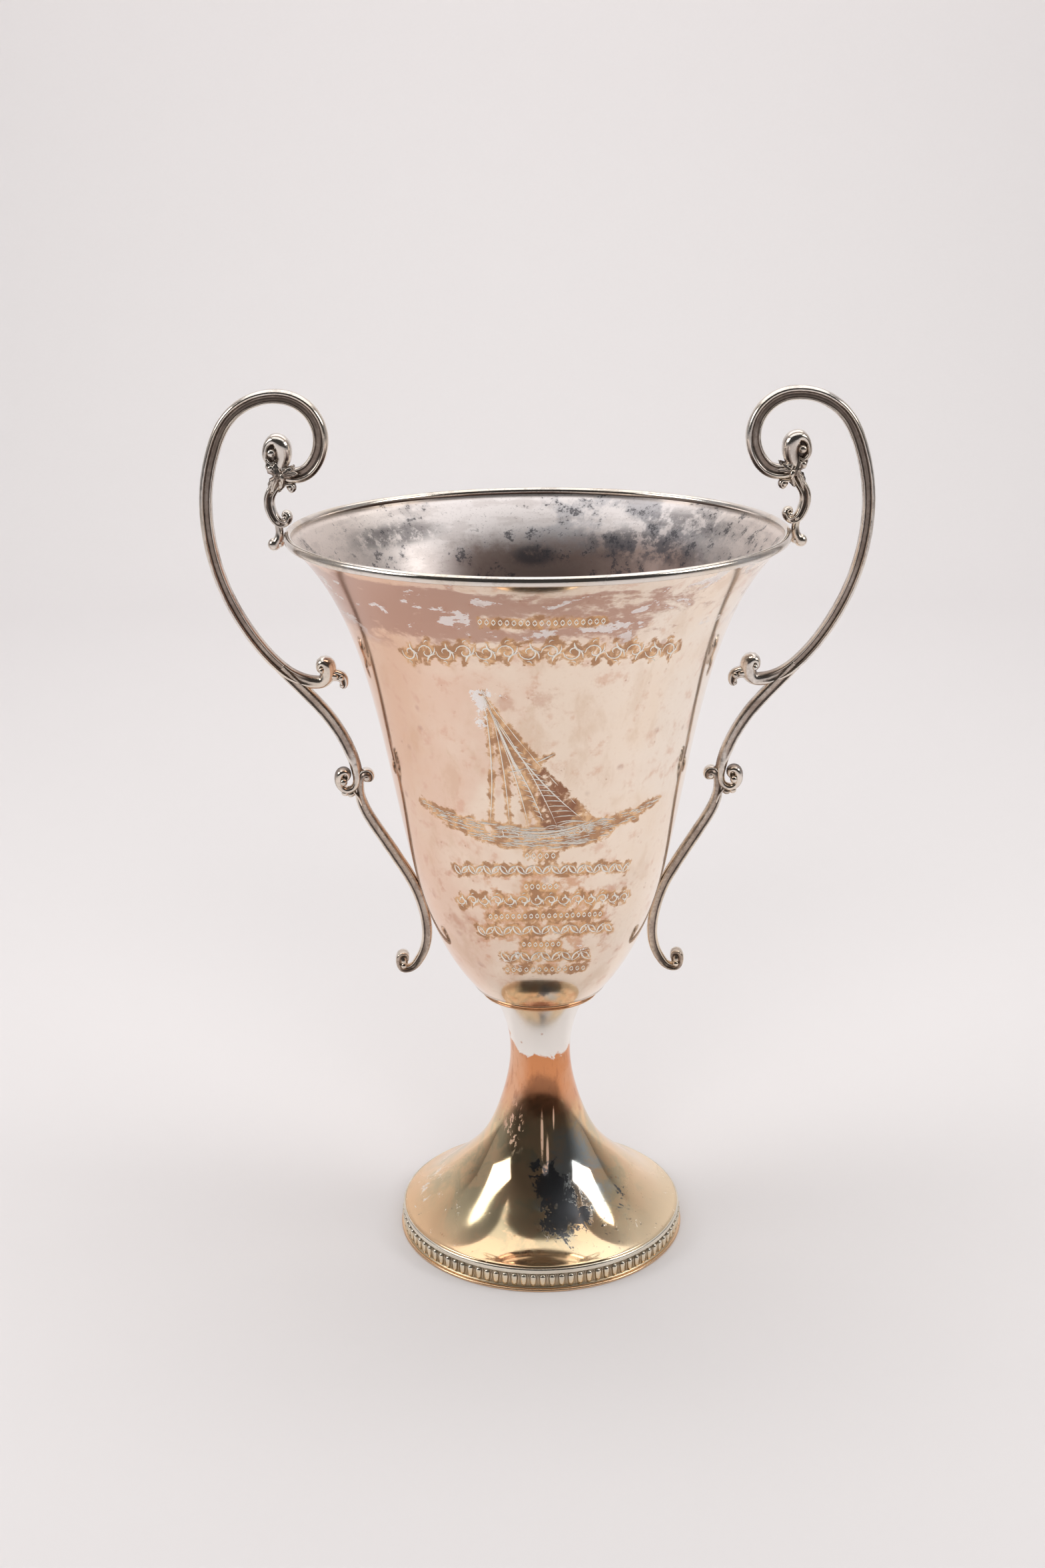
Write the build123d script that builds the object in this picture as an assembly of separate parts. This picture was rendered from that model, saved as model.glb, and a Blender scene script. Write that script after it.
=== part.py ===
"""Two-handled presentation cup: a bell-shaped bowl on a hollow trumpet foot, with two cast scroll handles.

Millimetres, +Z up. The origin is the centre of the foot's base, the cup's axis is Z and the handles
lie in the XZ plane. Handle curves are written as (radius from the axis, height) on the +X side, and
the -X handle is the same handle turned half round. Every piece is soft-soldered to its neighbours,
so the cup is one rigid body.
"""

import os
from math import cos, pi, radians, sin

from build123d import *

# ---- bowl ----
sheet = 1.0                    # spun sheet thickness of the bowl and of the foot
rim_radius = 95.0              # middle of the rim wire
rim_height = 296.1             # middle of the rim wire above the table
bowl_base_radius = 25.3
bowl_base_height = 108.7
bell_stations = (              # shares of the way out and up from the base to the lip
    (0.26255, 0.16251),
    (0.40029, 0.35023),
    (0.59684, 0.70421),
    (0.79914, 0.90158),
)
base_slope = (1.0, 1.05)       # direction of the wall where it leaves the base
lip_slope = (1.0, 0.95)        # direction of the wall where it meets the rim

# ---- rim wire ----
rim_wire_width = 3.6
rim_wire_height = 3.7
rim_roll = 1.6                 # rounding of the wire's top edges
rim_under_roll = 1.2           # rounding of its lower outer edge
lip_bite = 0.9                 # how far the bowl's lip stands up inside the wire

# ---- collar between bowl and stem ----
collar_radius = 24.2
collar_height = 2.4
collar_edge = 0.7

# ---- stem and foot ----
stem_top_radius = 20.5
throat_radius, throat_drop = 16.0, 8.3      # below the collar
throat_slope = (-0.72, -1.0)   # direction of the wall where it leaves the collar
trumpet_stations = (           # radius, and share of the way up from the shoulder to the collar
    (12.5, 0.75678),
    (16.4, 0.48539),
    (24.7, 0.29332),
    (40.0, 0.12630),
)
toe_slope = (1.0, -0.42)       # direction of the foot where it meets the shoulder
foot_radius = 57.8             # outside of the foot's upright skirt
foot_shoulder_height = 10.5
shoulder_round = 0.7

# ---- fluted band and base wire ----
band_height = 8.6
band_wall = 0.9
flute_count = 96
flute_length = 5.4
flute_proud = 0.55
flute_gap = 0.25               # between one flute and the next
flute_rise = 0.5               # from the band's lower edge to the flutes
base_wire_height = 1.3
base_wire_proud = 1.8          # beyond the skirt
base_wire_inside = 1.4         # inward of the skirt
base_wire_round = 0.52

# ---- handle bars: width in the handle's plane, depth across it ----
scroll_width, scroll_depth = 5.6, 6.4
bracket_width, bracket_depth = 4.3, 5.2
stalk_width = 3.4
upper_width, upper_depth = 5.0, 5.4
lower_width, lower_depth = 4.6, 5.0
tip_width = 3.4
curl_swell = 0.8               # how much deeper a volute is than its bar
solder_seat = 0.5              # how deep a bar is filed to the bowl it is soldered to

# ---- rim bracket, from the rim wire's outer edge at mid-height ----
bracket_out, bracket_up = 1.0, 27.0
bracket_heading = -108.0
bracket_arcs = ((6.0, -58.0), (14.0, 42.0), (9.0, 50.0), (3.2, 60.0))
crest_out, crest_up, crest_radius, crest_bead = 1.8, 31.5, 5.6, 1.9
inner_curl_out, inner_curl_up, inner_curl_radius, inner_curl_bead = -1.0, 5.9, 2.5, 1.0
stalk_out, stalk_top, stalk_bottom = 1.9, 4.8, -2.6
drop_out, drop_up, drop_radius = 3.6, -4.1, 2.6

# ---- acanthus leaf round the bracket's neck ----
leaf_low_radius, leaf_high_radius = 2.9, 4.7
leaf_out, leaf_up, leaf_length, leaf_lean = 0.9, 17.2, 8.6, 8.0
leaf_drop_in, leaf_drop_up, leaf_drop_radius = -2.9, 18.0, 2.2

# ---- main scroll: a straight lead from the bracket's neck, then arcs, all turning one way ----
scroll_out, scroll_up = 0.1, 23.05
scroll_heading = 192.5
scroll_lead = 3.0
scroll_arcs = (
    (8.5, 60.0),
    (16.0, 125.5),
    (23.5, 71.5),
    (69.0, 26.5),
    (86.5, 44.5),
    (22.0, 37.5),
    (5.8, 92.0),
)
arcs_before_strut = 5          # the strut leaves the scroll where this many arcs have run
tip_curl_radius, tip_curl_bead = 3.6, 1.6
tip_curl_heading, tip_curl_reach = 8.0, 2.0
tip_leaf_in, tip_leaf_up, tip_leaf_heading = -4.4, -1.6, -150.0
tip_leaf_arc = (4.4, -80.0)
tip_leaf_bead = 1.9

# ---- struts ----
knot_height = 196.5
knot_standoff = 15.2           # knot's middle from the bowl's wall
knot_curl_out, knot_curl_up, knot_curl_radius, knot_curl_bead = 5.3, 1.2, 3.5, 1.6
knot_bead_out, knot_bead_up, knot_bead_radius = 4.4, -3.7, 1.8
heart_curl_in, heart_curl_up, heart_curl_radius, heart_curl_bead = -4.3, 1.4, 3.2, 1.2
upper_bow = 3.7                # the upper strut's bow from its straight chord, towards the bowl
strut_end_rise = 5.0           # the upper strut is upright this far above the knot
shin_in, shin_down = -8.0, 20.5
shin_slope = (-0.1, -1.0)      # direction of the lower strut where it leaves the knot
tail_slope = (1.0, 0.1)        # and where it meets its tail curl
touch_height = 148.0           # where the lower strut is soldered along the bowl
calf_in, calf_down = -2.6, 17.0             # from the touching point
tail_out, tail_down = 6.4, 31.2
tail_curl_out, tail_curl_up, tail_curl_radius, tail_curl_bead = 1.6, 1.8, 3.4, 1.7

wall_samples = 16              # steps along a wall where its inside is measured off

rim_edge = rim_radius + rim_wire_width / 2
collar_bottom = bowl_base_height - collar_height
band_bottom = base_wire_height
flute_radius = foot_radius + band_wall


def on_wall(point):
    """A point of the handle's plane, from radius and height."""
    return Vector(point[0], 0, point[1])


def heading_vector(degrees):
    return Vector(cos(radians(degrees)), 0, sin(radians(degrees)))


def bowl_wall():
    """The bowl's outer line from its base to its lip, in the XZ plane."""
    lip_height = rim_height - rim_wire_height / 2 + lip_bite
    spread = rim_radius - bowl_base_radius
    rise = lip_height - bowl_base_height
    stations = [(bowl_base_radius, bowl_base_height)]
    for out, up in bell_stations:
        stations.append((bowl_base_radius + out * spread, bowl_base_height + up * rise))
    stations.append((rim_radius, lip_height))
    ends = [on_wall(base_slope), on_wall(lip_slope)]
    return Spline([on_wall(station) for station in stations], tangents=ends)


def foot_wall():
    """The outer line of stem and foot from the collar down to the shoulder."""
    rise = collar_bottom - foot_shoulder_height
    stations = [(stem_top_radius, collar_bottom), (throat_radius, collar_bottom - throat_drop)]
    stations += [(radius, foot_shoulder_height + up * rise) for radius, up in trumpet_stations]
    stations.append((foot_radius - shoulder_round, foot_shoulder_height))
    ends = [on_wall(throat_slope), on_wall(toe_slope)]
    return Spline([on_wall(station) for station in stations], tangents=ends)


def inside_line(wall, side):
    """The line one sheet thickness from a wall, on the side given by +1 or -1."""
    points = []
    for step in range(wall_samples + 1):
        share = step / wall_samples
        along = wall.tangent_at(share)
        points.append(wall.position_at(share) + Vector(-along.Z, 0, along.X) * (sheet * side))
    return Spline(points)


def turned(*edges):
    """A solid of revolution about Z from the edges of a closed outline in the XZ plane."""
    return revolve(make_face(Wire(edges)), Axis.Z)


def outline(points):
    return [Line(a, b) for a, b in zip(points, points[1:])]


def solid_bowl(wall, floor):
    """The wall's shape filled to the axis, from the height floor up to the wall's upper end."""
    low, high = wall.position_at(0), wall.position_at(1)
    sides = outline([high, Vector(0, 0, high.Z), Vector(0, 0, low.Z), low])
    if floor == low.Z:
        return turned(wall, *sides)
    return turned(wall, *sides) - Pos(0, 0, floor) * Box(
        2 * high.X, 2 * high.X, 2 * (high.Z - floor), align=(Align.CENTER, Align.CENTER, Align.MAX)
    )


def bowl_shell():
    """Spun bell with a flat bottom that sits on the collar."""
    wall = bowl_wall()
    hollow = solid_bowl(inside_line(wall, 1), bowl_base_height + sheet)
    return solid_bowl(wall, bowl_base_height) - hollow


def rim_moulding(bowl):
    """Drawn wire with a rolled top, filed to sit over the bowl's lip."""
    section = Rectangle(rim_wire_width, rim_wire_height)
    section = fillet(section.vertices().sort_by(Axis.Y)[2:], rim_roll)
    section = fillet(section.vertices().sort_by(Axis.Y)[:2].sort_by(Axis.X)[-1:], rim_under_roll)
    ring = revolve(Plane.XZ * Pos(rim_radius, rim_height) * section, Axis.Z)
    return ring - bowl


def bowl_collar():
    """Turned disc that carries the bowl and covers the stem's joint."""
    disc = Pos(0, 0, collar_bottom + collar_height / 2) * Cylinder(collar_radius, collar_height)
    return fillet(disc.edges().filter_by(GeomType.CIRCLE), collar_edge)


def stem_foot_shell():
    """Hollow trumpet, open underneath, with an upright skirt behind the fluted band."""
    wall = foot_wall()
    inner = inside_line(wall, -1)
    top, edge = wall.position_at(0), wall.position_at(1)
    inner_top, inner_edge = inner.position_at(0), inner.position_at(1)
    turn = Vector(foot_radius - shoulder_round, 0, foot_shoulder_height - shoulder_round)
    shoulder_middle = turn + heading_vector(45) * shoulder_round
    shoulder_end = turn + heading_vector(0) * shoulder_round
    shoulder = ThreePointArc(edge, shoulder_middle, shoulder_end)
    skirt_foot = Vector(foot_radius, 0, band_bottom)
    skirt_inside = Vector(foot_radius - sheet, 0, band_bottom)
    skirt_join = Vector(foot_radius - sheet, 0, inner_edge.Z)
    lower = outline([shoulder @ 1, skirt_foot, skirt_inside, skirt_join, inner_edge])
    shell = turned(wall, shoulder, *lower, inner, Line(inner_top, top))
    level = Pos(0, 0, collar_bottom) * Box(
        4 * stem_top_radius, 4 * stem_top_radius, 2 * sheet, align=(Align.CENTER, Align.CENTER, Align.MIN)
    )
    return shell - level


def foot_fluted_band():
    """Rolled strip round the skirt, with upright flutes between two plain edges."""
    skin = Circle(flute_radius) - Circle(foot_radius)
    strip = extrude(skin, band_height)
    pitch = 2 * pi * flute_radius / flute_count
    flute = Ellipse((pitch - flute_gap) / 2, flute_proud)
    ring = Circle(flute_radius - band_wall / 2) + [
        place * Rot(0, 0, 90) * flute for place in PolarLocations(flute_radius, flute_count)
    ]
    flutes = extrude(ring - Circle(foot_radius), flute_length)
    return Pos(0, 0, band_bottom) * (strip + Pos(0, 0, flute_rise) * flutes)


def foot_base_wire():
    """Flat wire under the skirt and the band, which the cup stands on."""
    middle = base_wire_height / 2
    disc = Pos(0, 0, middle) * Cylinder(foot_radius + base_wire_proud, base_wire_height)
    hole = Pos(0, 0, middle) * Cylinder(foot_radius - sheet - base_wire_inside, base_wire_height)
    ring = disc - hole
    edges = ring.edges().filter_by(GeomType.CIRCLE).group_by(SortBy.RADIUS)[-1]
    return fillet(edges, base_wire_round)


def arc_chain(start, heading, arcs):
    """Tangent arcs in the XZ plane from (radius, degrees) pairs; a positive angle turns clockwise."""
    edges = []
    point = Vector(*start)
    for radius, turn in arcs:
        side = 1 if turn > 0 else -1
        centre = point + heading_vector(heading - 90 * side) * radius
        middle = centre + heading_vector(heading + 90 * side - turn / 2) * radius
        end = centre + heading_vector(heading + 90 * side - turn) * radius
        edges.append(ThreePointArc(point, middle, end))
        point, heading = end, heading - turn
    return edges, point, heading


def bar(edges, width, depth):
    """Oval bar along a chain of edges in the XZ plane."""
    path = Wire(edges)
    start = Plane(origin=path.position_at(0), x_dir=(0, 1, 0), z_dir=path.tangent_at(0))
    return sweep(start * Ellipse(depth / 2, width / 2), path)


def knob(centre, radius):
    return Pos(*centre) * Sphere(radius)


def curl(centre, radius, depth, bead):
    """Closed volute: a thick disc with a round bead standing out of both faces."""
    disc = Pos(*centre) * Rot(90, 0, 0) * Cylinder(radius, depth + curl_swell)
    eye = Pos(*centre) * Rot(90, 0, 0) * Cylinder(bead, depth + curl_swell + bead)
    return disc + eye


def from_rim(out, up):
    """A point given by its offset from the rim wire's outer edge at mid-height."""
    return Vector(rim_edge + out, 0, rim_height + up)


def rim_bracket(rim, bowl):
    """Casting on the rim: crest volute, neck, limb, inner curl, and a stalk with a drop."""
    limb, _, _ = arc_chain(from_rim(bracket_out, bracket_up), bracket_heading, bracket_arcs)
    stalk = Line(from_rim(stalk_out, stalk_top), from_rim(stalk_out, stalk_bottom))
    casting = bar(limb, bracket_width, bracket_depth)
    casting += curl(from_rim(crest_out, crest_up), crest_radius, bracket_depth, crest_bead)
    inner_end = from_rim(inner_curl_out, inner_curl_up)
    casting += curl(inner_end, inner_curl_radius, bracket_depth, inner_curl_bead)
    casting += bar([stalk], stalk_width, bracket_depth)
    casting += knob(from_rim(drop_out, drop_up), drop_radius)
    return casting - rim - bowl


def main_scroll(bracket):
    """The big loop, and the point and heading where the strut leaves it."""
    start = from_rim(scroll_out, scroll_up)
    first = start + heading_vector(scroll_heading) * scroll_lead
    edges, end, heading = arc_chain(first, scroll_heading, scroll_arcs)
    loop = bar([Line(start, first)] + edges, scroll_width, scroll_depth)
    centre = end + heading_vector(heading - 90 + tip_curl_heading) * tip_curl_reach
    loop += curl(centre, tip_curl_radius, scroll_depth, tip_curl_bead)
    _, leave, leave_heading = arc_chain(first, scroll_heading, scroll_arcs[:arcs_before_strut])
    return loop - bracket, centre, leave, leave_heading


def scroll_tip_leaf(centre, scroll):
    """Small curled leaf behind the scroll's lower tip."""
    start = centre + Vector(tip_leaf_in, 0, tip_leaf_up)
    edges, end, _ = arc_chain(start, tip_leaf_heading, (tip_leaf_arc,))
    return bar(edges, tip_width, tip_width) + knob(end, tip_leaf_bead) - scroll


def acanthus_leaf(bracket, scroll):
    """Leaf cup wrapped round the bracket's neck and the scroll's end, with a hanging drop."""
    low = from_rim(leaf_out, leaf_up)
    cup = Pos(*low) * Rot(0, -leaf_lean, 0) * Cone(
        leaf_low_radius, leaf_high_radius, leaf_length, align=(Align.CENTER, Align.CENTER, Align.MIN)
    )
    drop = knob(from_rim(leaf_drop_in, leaf_drop_up), leaf_drop_radius)
    return cup + drop - bracket - scroll


def wall_radius(wall, height):
    """The bowl's outer radius at a height."""
    crossing = wall.intersect(Line((0, 0, height), (2 * rim_radius, 0, height)))
    return crossing.vertices()[0].X


def upper_strut(leave, leave_heading, knot, scroll):
    """Strut that leaves the scroll tangentially and ends in the knot's outer curl."""
    upright = knot + Vector(0, 0, strut_end_rise)
    chord = (upright - leave).normalized()
    bow = (leave + upright) * 0.5 + Vector(chord.Z, 0, -chord.X) * upper_bow
    ends = [heading_vector(leave_heading), Vector(0, 0, -1)]
    edges = [Spline([leave, bow, upright], tangents=ends), Line(upright, knot)]
    strut = bar(edges, upper_width, upper_depth)
    outer_curl = knot + Vector(knot_curl_out, 0, knot_curl_up)
    strut += curl(outer_curl, knot_curl_radius, upper_depth, knot_curl_bead)
    strut += knob(knot + Vector(knot_bead_out, 0, knot_bead_up), knot_bead_radius)
    return strut - scroll


def lower_strut(wall, knot, upper, bowl):
    """Strut from the knot's inner curl, lying on the bowl and ending in an outward tail curl."""
    stand = lower_width / 2 - solder_seat
    touch = on_wall((wall_radius(wall, touch_height) + stand, touch_height))
    calf = touch + Vector(calf_in, 0, -calf_down)
    tail = touch + Vector(tail_out, 0, -tail_down)
    shin = knot + Vector(shin_in, 0, -shin_down)
    ends = [on_wall(shin_slope), on_wall(tail_slope)]
    line = Spline([knot, shin, touch, calf, tail], tangents=ends)
    heart = knot + Vector(heart_curl_in, 0, heart_curl_up)
    tail_end = tail + Vector(tail_curl_out, 0, tail_curl_up)
    strut = bar([line], lower_width, lower_depth)
    strut += curl(heart, heart_curl_radius, lower_depth, heart_curl_bead)
    strut += curl(tail_end, tail_curl_radius, lower_depth, tail_curl_bead)
    return strut - upper - bowl


def handle(bowl, rim):
    """The pieces of the +X handle by name."""
    wall = bowl_wall()
    bracket = rim_bracket(rim, bowl)
    scroll, tip, leave, leave_heading = main_scroll(bracket)
    knot = on_wall((wall_radius(wall, knot_height) + knot_standoff, knot_height))
    upper = upper_strut(leave, leave_heading, knot, scroll)
    return {
        "rim_bracket": bracket,
        "main_scroll": scroll,
        "scroll_tip_leaf": scroll_tip_leaf(tip, scroll),
        "acanthus_leaf": acanthus_leaf(bracket, scroll),
        "upper_strut": upper,
        "lower_strut": lower_strut(wall, knot, upper, bowl),
    }


def cup():
    """Every piece of the cup by node name."""
    bowl = bowl_shell()
    rim = rim_moulding(bowl)
    pieces = {
        "bowl_shell": bowl,
        "rim_moulding": rim,
        "bowl_collar": bowl_collar(),
        "stem_foot_shell": stem_foot_shell(),
        "foot_fluted_band": foot_fluted_band(),
        "foot_base_wire": foot_base_wire(),
    }
    for name, piece in handle(bowl, rim).items():
        pieces["right_" + name] = piece
        pieces["left_" + name] = Rot(0, 0, 180) * piece
    return pieces


os.makedirs("parts", exist_ok=True)
for node, shape in cup().items():
    export_step(shape, f"parts/{node}.step")
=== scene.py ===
"""Worn silver-plated presentation cup with two scroll handles, on a pale studio sweep.

Lengths in the classes are millimetres. The cup stands on z = 0 with its axis on Z, its handles in the
XZ plane and its engraved front towards -Y. Handle shapes are written for the +X handle as (radius
from the axis, height, width, depth), and the -X handle is the same casting turned half round.
"""

import logging
import math
import random
from dataclasses import dataclass
from enum import Enum

import bmesh
import bpy
import numpy as np
from mathutils import Matrix, Vector, kdtree, noise

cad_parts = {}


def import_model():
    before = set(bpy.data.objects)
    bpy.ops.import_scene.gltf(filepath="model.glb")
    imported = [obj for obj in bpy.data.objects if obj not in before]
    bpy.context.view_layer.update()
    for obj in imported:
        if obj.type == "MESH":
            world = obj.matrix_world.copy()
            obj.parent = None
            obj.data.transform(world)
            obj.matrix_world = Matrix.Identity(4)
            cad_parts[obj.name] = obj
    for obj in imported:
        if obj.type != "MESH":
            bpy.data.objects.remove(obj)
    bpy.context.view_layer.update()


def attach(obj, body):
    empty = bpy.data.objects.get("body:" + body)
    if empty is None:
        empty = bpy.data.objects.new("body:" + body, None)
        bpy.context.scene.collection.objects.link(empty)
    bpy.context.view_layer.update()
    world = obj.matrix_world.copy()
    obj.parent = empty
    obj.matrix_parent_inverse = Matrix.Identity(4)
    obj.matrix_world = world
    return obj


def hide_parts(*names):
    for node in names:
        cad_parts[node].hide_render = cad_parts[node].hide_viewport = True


MM = 0.001
LOG = logging.getLogger("cup")
Station = tuple[float, float, float, float]
Colour = tuple[float, float, float]


# ---------------------------------------------------------------- lines and meshes


def clamped_spline(stations: list, first: tuple, last: tuple, count: int) -> np.ndarray:
    """Smooth line through stations, with a given direction at each end.

    Args:
        stations: points of two or more numbers; the first two set the spacing.
        first: direction at the start, or an empty tuple for a free end.
        last: direction at the end, or an empty tuple.
        count: number of points returned.

    Returns:
        An array of count points.
    """
    pts = np.array(stations, float)
    h = np.linalg.norm(np.diff(pts[:, :2], axis=0), axis=1)
    t = np.concatenate([[0.0], np.cumsum(h)])
    d = np.diff(pts, axis=0) / h[:, None]
    n = len(pts)
    a = np.zeros((n, n))
    b = np.zeros_like(pts)
    for i in range(1, n - 1):
        a[i, i - 1], a[i, i], a[i, i + 1] = h[i], 2 * (h[i - 1] + h[i]), h[i - 1]
        b[i] = 3 * (h[i] * d[i - 1] + h[i - 1] * d[i])
    a[0, 0] = a[-1, -1] = 1.0
    b[0], b[-1] = d[0], d[-1]
    for row, way in ((0, first), (-1, last)):
        if way:
            b[row, :2] = np.array(way, float) / np.linalg.norm(way)
    m = np.linalg.solve(a, b)
    out = []
    for s in np.linspace(0, t[-1], count):
        i = min(int(np.searchsorted(t, s, side="right")) - 1, n - 2)
        x = (s - t[i]) / h[i]
        out.append(
            pts[i] * (1 + 2 * x) * (1 - x) ** 2
            + pts[i + 1] * x * x * (3 - 2 * x)
            + h[i] * (m[i] * x * (1 - x) ** 2 + m[i + 1] * x * x * (x - 1))
        )
    return np.array(out)


def heading(degrees: float) -> np.ndarray:
    """Unit direction in the handle's plane."""
    return np.array([math.cos(math.radians(degrees)), math.sin(math.radians(degrees))])


def arc_stations(start: tuple, way: float, lead: float, arcs: list, step: float = 6.0) -> list[Station]:
    """Points along a straight lead and then tangent arcs that turn clockwise.

    Args:
        start: (radius, height) of the first point.
        way: heading there in degrees.
        lead: length of the straight lead.
        arcs: (arc radius, turn in degrees, width at its end, depth at its end).
        step: degrees between points.

    Returns:
        Stations of radius, height, width and depth.
    """
    point = np.array(start, float)
    width, depth = arcs[0][2], arcs[0][3]
    out = [(*point, width, depth)]
    point = point + heading(way) * lead
    for radius, turn, end_width, end_depth in arcs:
        centre = point + heading(way - 90) * radius
        count = max(2, round(turn / step))
        for k in range(1, count + 1):
            part = k / count
            p = centre + heading(way + 90 - turn * part) * radius
            out.append((*p, width + (end_width - width) * part, depth + (end_depth - depth) * part))
        point = centre + heading(way + 90 - turn) * radius
        way -= turn
        width, depth = end_width, end_depth
    return out


def directions(points: np.ndarray) -> np.ndarray:
    """Unit directions along a line of points."""
    ways = np.gradient(points, axis=0)
    return ways / np.maximum(np.linalg.norm(ways, axis=1), 1e-9)[:, None]


def placed(name: str, data: bpy.types.ID) -> bpy.types.Object:
    """Adds an object to the scene, at the origin.

    Args:
        name: its name.
        data: its mesh, light or camera data.

    Returns:
        The new object.
    """
    made = bpy.data.objects.new(name, data)
    bpy.context.scene.collection.objects.link(made)
    return made


def object_from(bm: bmesh.types.BMesh, name: str, finishes: list, rounded: bool = True) -> bpy.types.Object:
    """Puts a finished bmesh, in metres, into the scene.

    Args:
        bm: the mesh; it is freed.
        name: the piece's name.
        finishes: its materials, in slot order.
        rounded: whether its faces are turned outwards and shaded smooth; flat facets keep their own side.

    Returns:
        The new object, at the origin.
    """
    if rounded:
        bmesh.ops.recalc_face_normals(bm, faces=bm.faces[:])
    mesh = bpy.data.meshes.new(name)
    bm.to_mesh(mesh)
    bm.free()
    for polygon in mesh.polygons:
        polygon.use_smooth = rounded
    for finish in finishes:
        mesh.materials.append(finish)
    return placed(name, mesh)


def spun(outline: np.ndarray, steps: int) -> bmesh.types.BMesh:
    """Surface of revolution of a closed or axis-to-axis outline.

    Args:
        outline: (radius, height) points in millimetres.
        steps: segments round the axis.

    Returns:
        The bmesh, in metres.
    """
    bm = bmesh.new()
    verts = [bm.verts.new((r * MM, 0, z * MM)) for r, z in outline]
    edges = [bm.edges.new(pair) for pair in zip(verts, verts[1:])]
    if outline[0][0] > 1e-6:
        edges.append(bm.edges.new((verts[-1], verts[0])))
    bmesh.ops.spin(
        bm, geom=verts + edges, cent=(0, 0, 0), axis=(0, 0, 1), angle=2 * math.pi, steps=steps, use_merge=True
    )
    bmesh.ops.remove_doubles(bm, verts=bm.verts[:], dist=1e-7)
    return bm


def ripple(point: Vector, size: float, depth: float) -> float:
    """Slow unevenness of hand-worked sheet at a point, in metres."""
    return depth * MM * noise.noise(point * (1 / (size * MM)))


class Section(Enum):
    """Half of a bar's section: (u across the plane, v half depth, darkness), both as parts of the half sizes; darkness
    is tarnish plus painted shade.
    """

    MOULDED = (
        (1.0, 0.0, 0.0), (0.97, 0.32, 0.0), (0.86, 0.62, 0.0), (0.68, 0.84, 0.0), (0.46, 0.92, 0.0),
        (0.30, 0.84, 0.3), (0.20, 0.66, 1.0), (0.10, 0.58, 0.9), (-0.10, 0.60, 0.55), (-0.38, 0.64, 0.55),
        (-0.54, 0.62, 1.0), (-0.62, 0.70, 0.7), (-0.72, 0.80, 0.1), (-0.84, 0.76, 0.0), (-0.95, 0.5, 0.2),
        (-1.0, 0.0, 0.5),
    )
    RIBBED = (
        (1.0, 0.0, 0.0), (0.97, 0.4, 0.0), (0.84, 0.68, 0.0), (0.66, 0.74, 0.1), (0.5, 0.6, 0.9), (0.38, 0.62, 1.0),
        (0.2, 0.74, 0.6), (-0.1, 0.88, 0.47), (-0.42, 0.97, 0.45), (-0.7, 0.94, 0.36), (-0.9, 0.66, 0.2),
        (-1.0, 0.0, 0.4),
    )
    CHANNEL = (
        (1.0, 0.0, 0.0), (0.95, 0.5, 0.0), (0.76, 0.88, 0.0), (0.5, 0.95, 0.1), (0.28, 0.78, 0.7), (0.1, 0.6, 1.0),
        (-0.14, 0.6, 1.0), (-0.32, 0.8, 0.6), (-0.52, 0.94, 0.1), (-0.78, 0.82, 0.0), (-0.95, 0.45, 0.1),
        (-1.0, 0.0, 0.3),
    )
    # ROUND grows dark towards one edge: painted shade on the bar's far side.
    ROUND = (
        (1.0, 0.0, 0.1), (0.92, 0.39, 0.0), (0.71, 0.71, 0.0), (0.38, 0.92, 0.0), (0.0, 1.0, 0.0),
        (-0.38, 0.92, 0.1), (-0.71, 0.71, 0.4), (-0.92, 0.39, 0.7), (-1.0, 0.0, 1.0),
    )


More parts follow.
